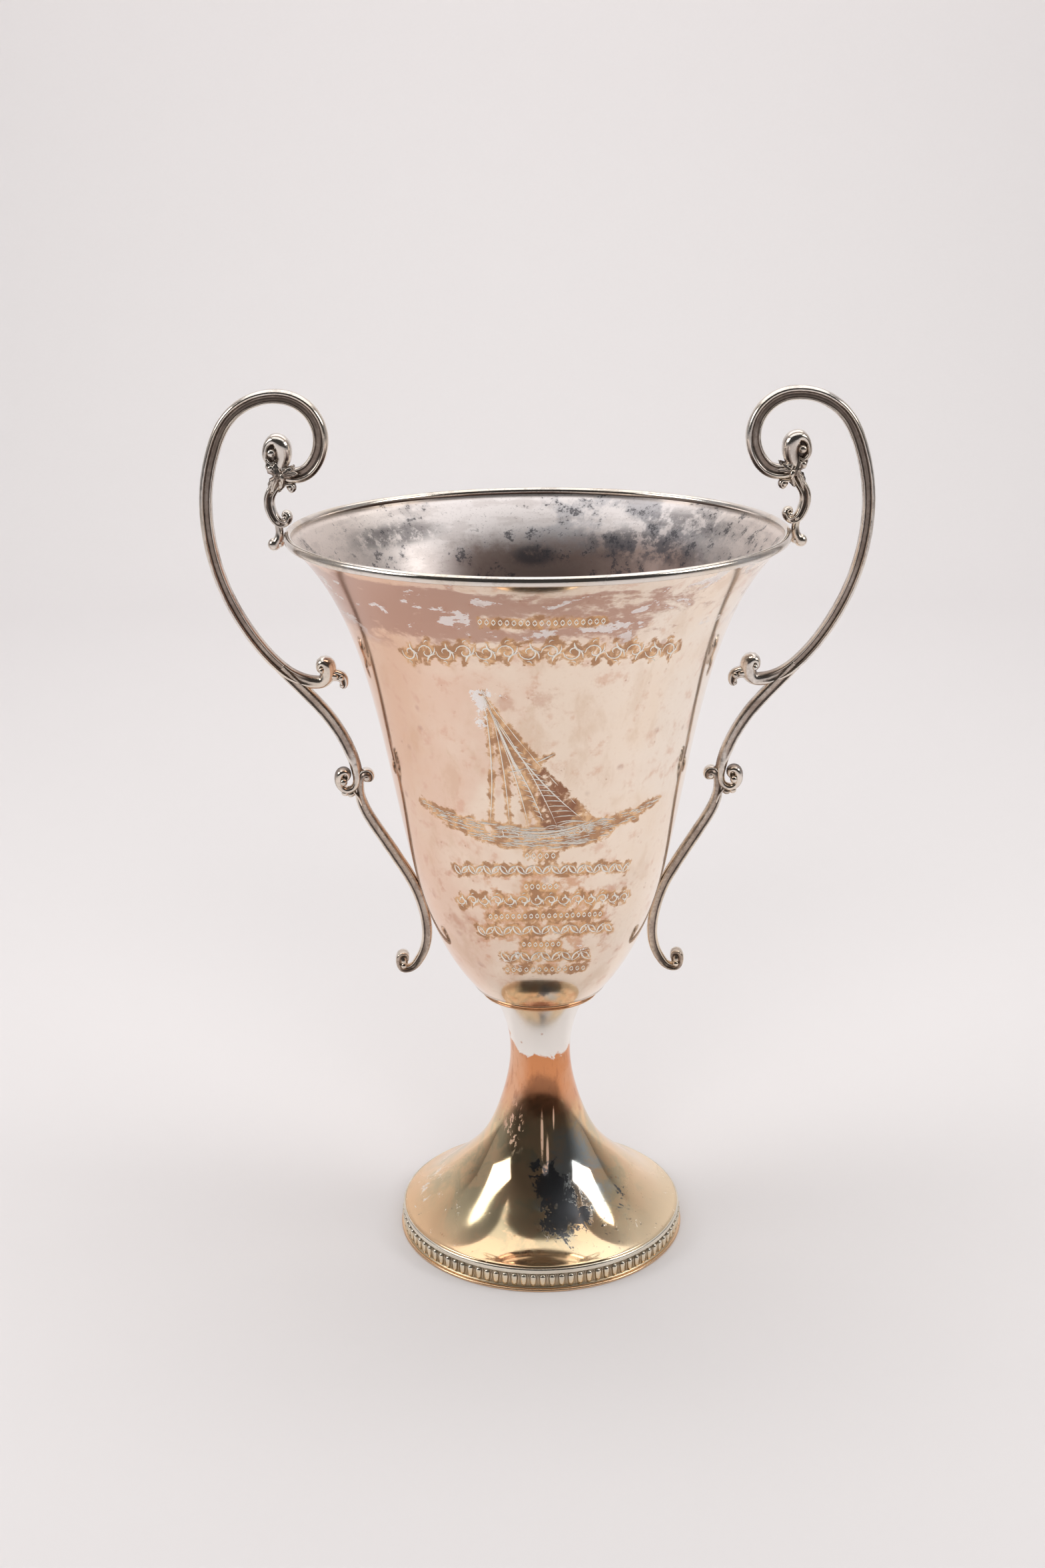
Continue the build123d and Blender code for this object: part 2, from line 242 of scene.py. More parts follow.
class Casting:
    """Collects swept bars, domes, beads and leaf blades into one mesh in the XZ plane."""

    BLEND_SHARE = 0.08

    def __init__(self) -> None:
        """Starts an empty casting."""
        self.bm = bmesh.new()
        self.dark = self.bm.verts.layers.float.new("recess")

    def sweep(self, stations: np.ndarray, section: Section, side: float = 1.0, blend: tuple = ()) -> None:
        """Bar of a given section along stations.

        Args:
            stations: rows of radius, height, width and depth.
            section: the section's outline.
            side: 1 if the section's outer edge is on the left of the way along, -1 if on the right.
            blend: (share of the length where it begins, section blended to), for bars that end in a volute.
        """
        half = np.array(section.value, float)
        if blend:
            count = len(half)
            other = np.array(blend[1].value, float)
            at = np.linspace(0, 1, len(other))
            end = np.array([np.interp(np.linspace(0, 1, count), at, other[:, c]) for c in range(3)]).T
        ways = directions(stations[:, :2])
        ring: list = []
        last = len(stations) - 1
        for k, (r, z, width, depth) in enumerate(stations):
            shape = half
            if blend:
                w = min(1.0, max(0.0, (k / last - blend[0]) / self.BLEND_SHARE))
                shape = half * (1 - w) + end * w
            loop = np.concatenate([shape, shape[-2:0:-1] * np.array([1, -1, 1])])
            across = np.array([-ways[k][1], ways[k][0]]) * side
            spots = [
                (
                    (r + across[0] * u * width / 2) * MM,
                    v * depth / 2 * MM,
                    (z + across[1] * u * width / 2) * MM,
                )
                for u, v, _ in loop
            ]
            if not ring:
                ring = [self.bm.verts.new(s) for s in spots]
                edges = [self.bm.edges.new((a, b)) for a, b in zip(ring, ring[1:] + ring[:1])]
                bmesh.ops.contextual_create(self.bm, geom=edges)
            else:
                made = bmesh.ops.extrude_edge_only(self.bm, edges=edges)["geom"]
                fresh = {v for v in made if isinstance(v, bmesh.types.BMVert)}
                linked = []
                for v in ring:
                    linked.append(next(e.other_vert(v) for e in v.link_edges if e.other_vert(v) in fresh))
                ring = linked
                edges = [self.bm.edges.get((a, b)) for a, b in zip(ring, ring[1:] + ring[:1])]
                for v, s in zip(ring, spots):
                    v.co = s
            for v, (_, _, darkness) in zip(ring, loop):
                v[self.dark] = darkness
        bmesh.ops.contextual_create(self.bm, geom=edges)

    def ball(self, at: tuple, radii: tuple, darkness: float = 0.0, turn: float = 0.0, rings: int = 14) -> None:
        """Ellipsoid at (radius, y, height), turned in the handle's plane.

        Args:
            at: centre in millimetres.
            radii: half sizes along radius, depth and height.
            darkness: its recess value.
            turn: degrees anticlockwise in the XZ plane.
            rings: rings of faces.
        """
        made = bmesh.ops.create_uvsphere(self.bm, u_segments=2 * rings, v_segments=rings, radius=1.0)["verts"]
        size = Matrix.Diagonal((radii[0] * MM, radii[1] * MM, radii[2] * MM, 1.0))
        spin = Matrix.Rotation(-math.radians(turn), 4, "Y")
        place = Matrix.Translation(Vector(at) * MM)
        bmesh.ops.transform(self.bm, matrix=place @ spin @ size, verts=made)
        for v in made:
            v[self.dark] = darkness

    def both_sides(self, at: tuple, depth: float, radii: tuple, darkness: float = 0.0, turn: float = 0.0) -> None:
        """The same bead on the front and the back of the casting."""
        for face in (-1, 1):
            self.ball((at[0], face * depth, at[1]), radii, darkness, turn, 10)

    def blade(self, at: tuple, way: float, length: float, width: float, lift: float, bend: float) -> None:
        """Veined leaf lobe on the front and the back of the casting.

        Args:
            at: (radius, height) of its root.
            way: heading of its midrib at the root, in degrees.
            length: length along the midrib.
            width: greatest width.
            lift: how far its root stands from the casting's middle plane.
            bend: degrees that the midrib turns over its length.
        """
        for face in (-1, 1):
            made = bmesh.ops.create_grid(self.bm, x_segments=12, y_segments=8, size=0.5)["verts"]
            for v in made:
                s, t = v.co.x + 0.5, v.co.y * 2
                turned = math.radians(way + bend * s * 0.5)
                spine = Vector((at[0], 0, at[1])) + Vector((math.cos(turned), 0, math.sin(turned))) * length * s
                side = Vector((-math.sin(turned), 0, math.cos(turned)))
                swell = math.sin(math.pi * min(1.0, 0.12 + 0.88 * s) ** 0.8) * (1 + 0.16 * math.cos(s * 19))
                edge = 0.5 * width * max(0.02, swell)
                vein = 0.32 * abs(math.sin(t * 2.6)) + 0.16 * math.cos(s * 19) * abs(t)
                bulge = lift * (1 - 0.45 * s * s) + 0.55 * (1 - t * t) + vein - 0.75 * abs(t) ** 3
                spot = spine + side * (t * edge)
                v.co = Vector((spot.x, face * bulge, spot.z)) * MM
                # Darker leaf edges, midrib and root: tarnish plus painted shade where the edges turn away.
                v[self.dark] = min(1.0, abs(t) ** 2 * 0.9 + (0.6 if abs(t) < 0.2 else 0.0) + 0.5 * (1 - s) ** 3)
            faces = list({f for v in made for f in v.link_faces})
            bmesh.ops.recalc_face_normals(self.bm, faces=faces)
            bmesh.ops.solidify(self.bm, geom=faces, thickness=0.5 * MM)

    def bake(self, name: str, turned: bool, finish: bpy.types.Material, grain: float = 0.05) -> bpy.types.Object:
        """Adds the casting's slight roughness and puts the piece into the scene.

        Args:
            name: the piece's name.
            turned: whether to turn it half round the cup's axis.
            finish: its material.
            grain: depth of the surface's unevenness.

        Returns:
            The piece.
        """
        if turned:
            bmesh.ops.rotate(self.bm, verts=self.bm.verts[:], matrix=Matrix.Rotation(math.pi, 3, "Z"))
        self.bm.normal_update()
        for v in self.bm.verts:
            v.co += v.normal * (ripple(v.co, 2.2, grain) + ripple(v.co, 6.0, grain))
        return object_from(self.bm, name, [finish])


# ---------------------------------------------------------------- shader building


class NodeBench:
    """A node tree under construction."""

    def __init__(self, tree: bpy.types.NodeTree) -> None:
        """Takes the tree to build in."""
        self.tree = tree

    def node(self, kind: str, settings: dict, **inputs: object) -> bpy.types.Node:
        """Makes any node, sets its options first and its sockets after.

        Args:
            kind: the node's type.
            settings: its properties.
            inputs: values, sockets or Values by input name, with __ for a space, or _ and the input's number.

        Returns:
            The node.
        """
        node = self.tree.nodes.new(kind)
        for key, value in settings.items():
            setattr(node, key, value)
        for key, value in inputs.items():
            self.plug(node.inputs[int(key[1:])] if key[0] == "_" else node.inputs[key.replace("__", " ")], value)
        return node

    def plug(self, socket: bpy.types.NodeSocket, value: object) -> None:
        """Links a socket or Value to an input, or sets its number.

        Args:
            socket: the input.
            value: a Value, an output socket, or a plain number, colour or vector.
        """
        if isinstance(value, Value):
            self.tree.links.new(value.socket, socket)
        elif isinstance(value, bpy.types.NodeSocket):
            self.tree.links.new(value, socket)
        else:
            socket.default_value = value

    def colour(self, base: object, *layers: tuple) -> object:
        """Lays colours over a base.

        Args:
            base: colour, or a colour socket.
            layers: (mask, colour) pairs, from the bottom up.

        Returns:
            The colour socket.
        """
        below = (*base, 1.0) if isinstance(base, tuple) else base
        for mask, top in layers:
            mix = self.node("ShaderNodeMix", {"data_type": "RGBA"}, _0=mask, _6=below, _7=(*top, 1.0))
            below = mix.outputs[2]
        return below


class Value:
    """A shader socket with arithmetic."""

    def __init__(self, bench: NodeBench, socket: bpy.types.NodeSocket) -> None:
        """Wraps one output socket."""
        self.bench = bench
        self.socket = socket

    def _do(self, operation: str, *terms: object, clamp: bool = False) -> "Value":
        """Works one sum out with a Math node.

        Args:
            operation: the Math node's operation.
            terms: Values or numbers, in the order of its sockets.
            clamp: whether the result is held between 0 and 1.

        Returns:
            The result.
        """
        inputs = {f"_{slot}": term for slot, term in enumerate(terms)}
        made = self.bench.node("ShaderNodeMath", {"operation": operation, "use_clamp": clamp}, **inputs)
        return Value(self.bench, made.outputs[0])

    def __add__(self, other: object) -> "Value":
        """Sum."""
        return self._do("ADD", self, other)

    __radd__ = __add__

    def __mul__(self, other: object) -> "Value":
        """Product."""
        return self._do("MULTIPLY", self, other)

    __rmul__ = __mul__

    def __sub__(self, other: object) -> "Value":
        """Difference."""
        return self._do("SUBTRACT", self, other)

    def __rsub__(self, other: object) -> "Value":
        """Difference the other way round."""
        return self._do("SUBTRACT", other, self)

    def __truediv__(self, other: object) -> "Value":
        """Quotient."""
        return self._do("DIVIDE", self, other)

    def __rtruediv__(self, other: object) -> "Value":
        """Quotient the other way round."""
        return self._do("DIVIDE", other, self)

    def __pow__(self, other: object) -> "Value":
        """Power."""
        return self._do("POWER", self, other)

    def clamp(self) -> "Value":
        """Held between 0 and 1."""
        return self._do("ADD", self, 0.0, clamp=True)

    def step(self, low: float, high: float) -> "Value":
        """Smooth step between two numbers.

        Args:
            low: where it is 0.
            high: where it is 1; this may be the lower number.

        Returns:
            A value from 0 to 1.
        """
        span = {"From__Min": min(low, high), "From__Max": max(low, high)}
        ends = {"To__Min": float(high < low), "To__Max": float(high >= low)}
        made = self.bench.node("ShaderNodeMapRange", {"interpolation_type": "SMOOTHSTEP"}, Value=self, **span, **ends)
        return Value(self.bench, made.outputs["Result"])


class Shader(NodeBench):
    """One material under construction."""

    def __init__(self, name: str) -> None:
        """Makes an empty material with its Principled shader and its coordinates in millimetres.

        Args:
            name: the material's name.
        """
        self.material = bpy.data.materials.new(name)
        self.material.use_nodes = True
        super().__init__(self.material.node_tree)
        self.surface = self.tree.nodes["Principled BSDF"]
        coordinates = self.node("ShaderNodeTexCoord", {}).outputs["Object"]
        self.place = self.node("ShaderNodeMapping", {}, Vector=coordinates, Scale=(1000, 1000, 1000)).outputs[0]
        parts = self.node("ShaderNodeSeparateXYZ", {}, Vector=self.place)
        self.x, self.y, self.z = (Value(self, parts.outputs[i]) for i in range(3))

    def radius(self) -> Value:
        """Distance from the cup's axis."""
        return (self.x * self.x + self.y * self.y) ** 0.5

    def noise(
        self, size: float, detail: float = 4.0, rough: float = 0.55, warp: float = 0.0, stretch: tuple = (1, 1, 1)
    ) -> Value:
        """Fractal noise, with features of about size millimetres.

        Args:
            size: feature size.
            detail: octaves.
            rough: strength of the finer octaves.
            warp: distortion.
            stretch: scale of each axis before the noise.

        Returns:
            A value about 0.5.
        """
        place = self.place
        if stretch != (1, 1, 1):
            place = self.node("ShaderNodeMapping", {}, Vector=self.place, Scale=stretch).outputs[0]
        made = self.node(
            "ShaderNodeTexNoise", {}, Vector=place, Scale=1 / size, Detail=detail, Roughness=rough, Distortion=warp
        )
        return Value(self, made.outputs["Fac"])

    def cells(self, size: float, jitter: float = 1.0) -> Value:
        """Distance to the nearest of scattered points about size millimetres apart, as part of size."""
        made = self.node("ShaderNodeTexVoronoi", {}, Vector=self.place, Scale=1 / size, Randomness=jitter)
        return Value(self, made.outputs["Distance"])

    def attribute(self, name: str) -> Value:
        """A float attribute of the mesh."""
        made = self.node("ShaderNodeAttribute", {"attribute_name": name})
        return Value(self, made.outputs["Fac"])

    def spot(self, at: tuple, radii: tuple, soft: float = 0.5) -> Value:
        """1 inside an ellipsoid and 0 outside it.

        Args:
            at: centre in millimetres.
            radii: half sizes.
            soft: width of its edge, as part of the radius.

        Returns:
            The mask.
        """
        dx, dy, dz = ((axis - at[i]) / radii[i] for i, axis in enumerate((self.x, self.y, self.z)))
        return ((dx * dx + dy * dy + dz * dz) ** 0.5).step(1 + soft, 1 - soft)

    def finish(
        self, colour: object, metal: object, rough: object, bump: object, strength: float, scale: float
    ) -> bpy.types.Material:
        """Connects the Principled shader.

        Args:
            colour: base colour.
            metal: metallic value.
            rough: roughness value.
            bump: height value for the Bump node.
            strength: its strength.
            scale: height of 1 in metres.

        Returns:
            The material.
        """
        self.plug(self.surface.inputs["Base Color"], colour)
        self.plug(self.surface.inputs["Metallic"], metal)
        self.plug(self.surface.inputs["Roughness"], rough)
        normal = self.node("ShaderNodeBump", {}, Height=bump, Strength=strength, Distance=scale)
        self.plug(self.surface.inputs["Normal"], normal.outputs[0])
        return self.material


# ---------------------------------------------------------------- finishes


@dataclass(frozen=True)
class BowlPlate:
    """Polished outside of the bowl: silver plate rubbed through to pink copper, with tarnished engraving."""

    plate: Colour = (0.95, 0.80, 0.66)
    pink: Colour = (0.84, 0.58, 0.45)
    cream: Colour = (0.97, 0.87, 0.76)
    mauve: Colour = (0.50, 0.29, 0.22)
    brown: Colour = (0.40, 0.21, 0.12)
    amber: Colour = (0.78, 0.45, 0.20)
    white: Colour = (0.96, 0.93, 0.91)
    tan: Colour = (0.70, 0.47, 0.31)
    peach: Colour = (0.78, 0.47, 0.30)
    russet: Colour = (0.72, 0.39, 0.22)
    rose: Colour = (0.74, 0.44, 0.31)
    sand: Colour = (0.74, 0.50, 0.36)
    blush: Colour = (0.60, 0.33, 0.22)
    umber: Colour = (0.27, 0.12, 0.075)
    polish: float = 0.055

    def make(self) -> bpy.types.Material:
        """Builds the finish.

        Returns:
            The material.
        """
        s = Shader("bowl_plate_outside")
        broad = s.noise(40, 4, 0.5, 0.4)
        smear = s.noise(19, 7, 0.60, 0.3, (1.0, 1.0, 2.8))
        mottle = s.noise(6.5, 6, 0.62)
        fine = s.noise(1.6, 6, 0.65)
        rosy = (broad * 0.8 + s.x.step(14, -46) * 0.30 + (mottle - 0.5) * 0.25).step(0.42, 0.74)
        streak = s.noise(11, 6, 0.6, 0.3, (1.0, 1.0, 0.45)).step(0.50, 0.66)
        top = s.z.step(258, 280) * s.z.step(293, 290)
        side = s.x.step(0, -34) * 0.32 - s.x.step(25, 62) * 0.3
        shoulder = (top * 0.5 + (smear - 0.5) * 2.4 + side + (fine - 0.5) * 0.3).step(0.25, 0.55) * s.z.step(260, 272)
        worn = (smear * 0.75 + mottle * 0.25).step(0.565, 0.585) * s.z.step(262, 276)
        right = s.x.step(10, 52) * (broad + mottle * 0.4).step(0.5, 0.8)
        rubbed = (
            (s.spot((-20, -66, 249), (7, 20, 4.5), 0.7) + s.spot((-21, -62, 240), (3, 20, 6), 0.6)) * 0.6
            + s.spot((-13, -42, 137), (9, 20, 10), 0.8) * 0.40 + s.spot((17, -42, 139), (6, 20, 8), 0.8) * 0.34
            + (mottle - 0.5) * 1.3 + (fine - 0.5) * 1.2
        ).step(0.50, 0.58)
        halo = s.attribute("halo")
        spread = s.noise(5.5, 5, 0.6, 0.5)
        stain = (halo * 0.85 + (spread - 0.5) * 2.1 + (fine - 0.5) * 1.1 - 0.27).step(0.0, 0.38) * halo.step(0.02, 0.3)
        core = (s.spot((6, -60, 211), (7, 20, 17), 0.5) * 0.5 + (spread - 0.5) + halo * 0.4).step(0.42, 0.68) * stain
        seep = s.spot((0, -50, 156), (33, 40, 30), 0.5) * 0.3 + spread * 0.45 + mottle * 0.55 + halo * 0.10
        seep = seep.step(0.76, 0.86)
        blush = (
            (s.spot((2, -66, 248), (6, 20, 5), 0.8) + s.spot((-13, -66, 246), (5, 20, 4), 0.8)) * 0.7
            + (s.spot((-30, -45, 150), (12, 30, 9), 0.9) + s.spot((24, -45, 148), (10, 30, 7), 0.9)) * 0.6
            + (s.spot((-38, -60, 176), (8, 30, 14), 0.9) + s.spot((30, -60, 165), (9, 30, 8), 0.9)) * 0.6
            + (mottle - 0.5) * 1.6 + (fine - 0.5) * 0.6
        ).step(0.30, 0.72)
        drops = s.cells(12).step(0.17, 0.07) * s.noise(25, 2).step(0.44, 0.54)
        flecks = s.cells(3.6).step(0.14, 0.06) * mottle.step(0.50, 0.62)
        scratch = s.noise(0.8, 3, 0.5, 0.0, (0.3, 0.3, 2.8)).step(0.56, 0.66)
        colour = s.colour(
            self.plate,
            (rosy * 0.72, self.pink),
            (streak * 0.38, self.tan),
            # Painted reflection: a peach-orange band down the bowl's left edge stands for the handle reflected there.
            ((s.x + (mottle - 0.5) * 26).step(-36, -56) * 0.55, self.peach),
            (seep * 0.75, self.russet),
            (right * 0.8, self.cream),
            (mottle.step(0.53, 0.68) * 0.5, self.rose),
            (fine.step(0.55, 0.70) * 0.25, self.sand),
            (blush * 0.42, self.blush),
            (shoulder * 0.84, self.mauve),
            (worn * 0.72, self.white),
            (stain * 0.80, self.amber),
            ((stain * spread.step(0.45, 0.58)) * 0.78, self.brown),
            (core * 0.8, self.umber),
            (drops * 0.5, self.mauve),
            (flecks * 0.6, self.brown),
            (rubbed * 0.9, self.white),
        )
        haze = worn * 0.20 + rubbed * 0.25 + stain * 0.12 + shoulder * 0.03
        rough = self.polish + fine * 0.04 + mottle * 0.04 + haze
        return s.finish(colour, 0.97 - stain * 0.15, rough, fine * 0.3 + scratch * 0.12 + stain * 0.4, 0.10, 0.0001)


@dataclass(frozen=True)
class BowlInside:
    """Dull oxidised inside of the bowl, with painted shade lower down and painted reflection lightening its sides."""

    grey: Colour = (0.73, 0.675, 0.665)
    soot: Colour = (0.055, 0.052, 0.06)
    slate: Colour = (0.33, 0.33, 0.36)
    side_reflection: Colour = (0.84, 0.73, 0.65)
    deep_shade: Colour = (0.17, 0.11, 0.09)
    smoke: Colour = (0.42, 0.36, 0.34)
    speck: Colour = (0.20, 0.17, 0.17)

    def make(self) -> bpy.types.Material:
        """Builds the finish.

        Returns:
            The material.
        """
        s = Shader("bowl_plate_inside")
        broad = s.noise(30, 5, 0.55)
        mottle = s.noise(7.5, 8, 0.72)
        fine = s.noise(1.0, 6, 0.72)
        streak = s.noise(6, 5, 0.6, 0.0, (0.45, 0.45, 1.6))
        # Painted shade: the inside is darkened to deep brown below the band under the rim, less towards the left and
        # right.
        low = (s.z + (mottle - 0.5) * 14 - s.x.step(10, 60) * 3).step(284, 271)
        low = low * (1 - (s.x.step(-22, -52) + s.x.step(58, 76)) * 0.8)
        clouds = (broad * 0.75 + mottle * 0.25 + s.x.step(20, 75) * 0.05).step(0.50, 0.60)
        # Painted reflection: the inside is lighter and warmer towards the left and right.
        side_reflection = (s.x.step(-30, -85) + s.x.step(55, 90)).clamp()
        soot = (mottle * 0.7 + fine * 0.3 + clouds * 0.035).step(0.575, 0.62) * broad.step(0.40, 0.5)
        blot = (
            s.spot((-1, 78, 272), (9, 30, 4), 0.5) + s.spot((45, 67, 278), (25, 30, 6), 0.6)
            + s.spot((-60, 62, 284), (20, 30, 4), 0.5) * 0.8 + s.spot((62, 60, 288), (20, 30, 4), 0.7) * 0.7
        ) * mottle.step(0.40, 0.52)
        colour = s.colour(
            self.grey,
            (clouds * 0.55, self.slate),
            (side_reflection * 0.65, self.side_reflection),
            (streak.step(0.48, 0.62) * 0.30, self.smoke),
            (low * 0.9, self.deep_shade),
            (fine.step(0.56, 0.68) * 0.5, self.speck),
            (soot * 0.75, self.soot),
            (blot * 0.8, self.soot),
        )
        rough = 0.26 + mottle * 0.14 + clouds * 0.06 + fine * 0.05 + low * 0.1
        return s.finish(colour, 0.93, rough, fine * 0.5 + mottle * 0.5, 0.22, 0.0002)


@dataclass(frozen=True)
class SilverPlate:
    """Warm grey silver plate for the rim and the handles, brown in its panels and black in its grooves: tarnish plus
    painted shade.
    """

    name: str
    bright: Colour = (0.84, 0.78, 0.72)
    gold: Colour = (0.84, 0.66, 0.45)
    brown: Colour = (0.33, 0.25, 0.205)
    dark: Colour = (0.045, 0.038, 0.034)
    dull: Colour = (0.47, 0.40, 0.35)
    pit: Colour = (0.05, 0.042, 0.04)
    tarnish_and_shade: float = 0.9
    polish: float = 0.12

    def make(self) -> bpy.types.Material:
        """Builds the finish.

        Returns:
            The material.
        """
        s = Shader(self.name)
        recess = s.attribute("recess")
        patch = s.noise(13, 5, 0.6, 0.4)
        grain = s.noise(1.2, 7, 0.7)
        speck = s.noise(0.5, 4, 0.65)
        # Panels and grooves: tarnish in the hollows plus painted shade, from the recess values.
        panel = (recess + (patch - 0.5) * 0.6 + (grain - 0.5) * 0.5).step(0.12, 0.62)
        groove = (recess + (grain - 0.5) * 0.5 + (patch - 0.5) * 0.3).step(0.68, 1.0)
        film = (patch * 0.7 + grain * 0.3).step(0.50, 0.60) * 0.45
        yellow = s.noise(23, 3).step(0.44, 0.62) * 0.3 + s.z.step(230, 120) * 0.35
        pits = speck.step(0.64, 0.72) * (grain * 0.6 + patch * 0.4).step(0.50, 0.58)
        colour = s.colour(
            self.bright,
            (yellow.clamp(), self.gold),
            (film, self.dull),
            (panel * self.tarnish_and_shade, self.brown),
            (groove * self.tarnish_and_shade, self.dark),
            (pits * 0.8, self.pit),
        )
        rough = self.polish + grain * 0.08 + film * 0.14 + panel * 0.16
        return s.finish(colour, 1.0 - groove * 0.2, rough, grain * 0.6 + speck * 0.4 - pits, 0.26, 0.00012)


@dataclass(frozen=True)
class StemPlate:
    """Mirror-polished foot: white silver under the collar, bare copper on the neck, gold and steel-blue below, with
    painted dark reflections on its front.
    """

    gold: Colour = (0.86, 0.62, 0.37)
    copper: Colour = (0.72, 0.30, 0.13)
    peach: Colour = (0.92, 0.62, 0.44)
    silver: Colour = (0.95, 0.91, 0.86)
    steel: Colour = (0.62, 0.68, 0.70)
    black: Colour = (0.13, 0.135, 0.15)
    olive: Colour = (0.52, 0.47, 0.31)
    honey: Colour = (0.92, 0.60, 0.36)
    straw: Colour = (0.93, 0.72, 0.50)
    pale: Colour = (0.96, 0.78, 0.54)
    burnt: Colour = (0.48, 0.19, 0.10)
    bronze: Colour = (0.80, 0.52, 0.30)
    liver: Colour = (0.22, 0.10, 0.06)
    scraped: Colour = (0.93, 0.62, 0.48)
    rust: Colour = (0.50, 0.20, 0.08)
    polish: float = 0.045

    def make(self) -> bpy.types.Material:
        """Builds the finish.

        Returns:
            The material.
        """
        s = Shader("stem_plate")
        ragged = s.noise(6, 8, 0.7, 0.9)
        patch = s.noise(17, 6, 0.6, 0.6)
        fine = s.noise(1.6, 6, 0.68)
        streak = s.noise(1.5, 5, 0.6, 0.0, (1.0, 1.0, 0.16))
        side = (s.x * s.x * 0.006 - 0.45).clamp()
        edge = (ragged - 0.5) * 13 - side * (ragged - 0.38) * 60 + s.x * 0.15
        white = (s.z + edge).step(80.5, 81.8) * s.z.step(106.2, 105.2)
        neck = (s.z + (ragged - 0.5) * 16 + (streak - 0.5) * 14 + (patch - 0.5) * 14).step(48, 64)
        radius = s.radius()
        rim = radius.step(43, 56)
        olive = (patch * 0.7 + ragged * 0.3 + s.spot((-26, -33, 18), (14, 14, 8), 0.6) * 0.12).step(0.47, 0.58)
        steel = s.spot((13, -27, 34), (14, 22, 20), 0.9) * 0.8 + (ragged - 0.5) * 0.9 + (patch - 0.5) * 1.2
        steel = steel.step(0.25, 0.78)
        # Painted reflection: a black blot on the front of the foot stands for the dark room reflected there.
        blot = (
            s.spot((9.5, -36, 23), (10.5, 16, 12), 0.55) + s.spot((1.5, -28, 35), (7, 14, 8), 0.6) * 0.8
            + s.spot((33, -26, 23), (8, 12, 7), 0.8) * 0.55
        )
        dark_reflection_blot = (blot * 0.75 + (ragged - 0.5) * 2.2 + (fine - 0.5) * 0.9).step(0.50, 0.58)
        flakes = (s.noise(4.0, 8, 0.72, 0.6) + s.spot((-44, 4, 18), (10, 16, 10), 0.7) * 0.09).step(0.655, 0.68)
        flakes = flakes * radius.step(36, 46)
        spots = (s.noise(2.2, 6, 0.7) + s.spot((30, -36, 15), (18, 14, 8), 0.7) * 0.07).step(0.66, 0.69)
        flank = ((s.x * s.x) ** 0.5 + (patch - 0.5) * 12).step(27, 40) * s.z.step(62, 34)
        # Painted reflection: a dark brown patch on the front of the neck, facing the camera.
        neck_dark_reflection = (s.spot((0.5, -13, 64), (7, 14, 8), 0.8) + (ragged - 0.5) * 0.8).step(0.2, 0.7) * s.y.step(0, -6)
        dots = s.cells(5.5).step(0.13, 0.05) * ragged.step(0.46, 0.58)
        bare = (
            s.spot((0.4, -20, 49), (0.55, 14, 8), 0.5) + s.spot((2.6, -23, 42), (0.5, 14, 6), 0.5)
            + s.spot((1.4, -26, 36.5), (1.0, 14, 1.6), 0.5) + s.spot((5.2, -17, 55), (0.3, 14, 4), 0.5)
            + s.spot((-11, -14, 51), (4, 14, 9), 0.5) * streak.step(0.53, 0.60)
        ).clamp() * fine.step(0.26, 0.44)
        colour = s.colour(
            self.gold,
            (patch.step(0.54, 0.36) * 0.55, self.honey),
            (olive * 0.62 * (1.0 - rim * 0.5), self.olive),
            (s.x.step(24, 50) * 0.6, self.straw),
            (rim * s.x.step(-30, 20) * 0.5, self.pale),
            (rim * s.x.step(-10, -45) * 0.6, self.honey),
            (neck, self.copper),
            # Painted reflection: the neck's left and right flanks are lightened to peach, more on the left, in patches.
            (neck * (s.x.step(-3.5, -10) * 0.55 + s.x.step(6, 12) * 0.35) * patch.step(0.30, 0.55), self.peach),
            (neck * (streak * 0.6 + ragged * 0.4).step(0.52, 0.62) * 0.45, self.burnt),
            (neck * s.z.step(84, 104) * 0.5, self.bronze),
            (neck_dark_reflection * 0.6, self.liver),
            (steel * 0.85 * (1.0 - neck), self.steel),
            (bare * 0.8, self.scraped),
            (dark_reflection_blot * 0.92, self.black),
            (spots * 0.85 * (1.0 - neck), self.black),
            (flakes * 0.85, self.silver),
            (white, self.silver),
            (dots * 0.6, self.rust),
        )
        haze = white * 0.10 + bare * 0.45 + flakes * 0.25 + dark_reflection_blot * 0.08 + olive * 0.04 + neck * 0.05 + flank * 0.10
        rough = self.polish + fine * 0.04 + haze
        relief = fine * 0.2 + white * 0.1 + flakes * 0.5 + streak * neck * 0.2 - dark_reflection_blot * 0.3
        return s.finish(colour, 0.98 - flakes * 0.1 - bare * 0.4 - flank * 0.34, rough, relief, 0.12, 0.00013)


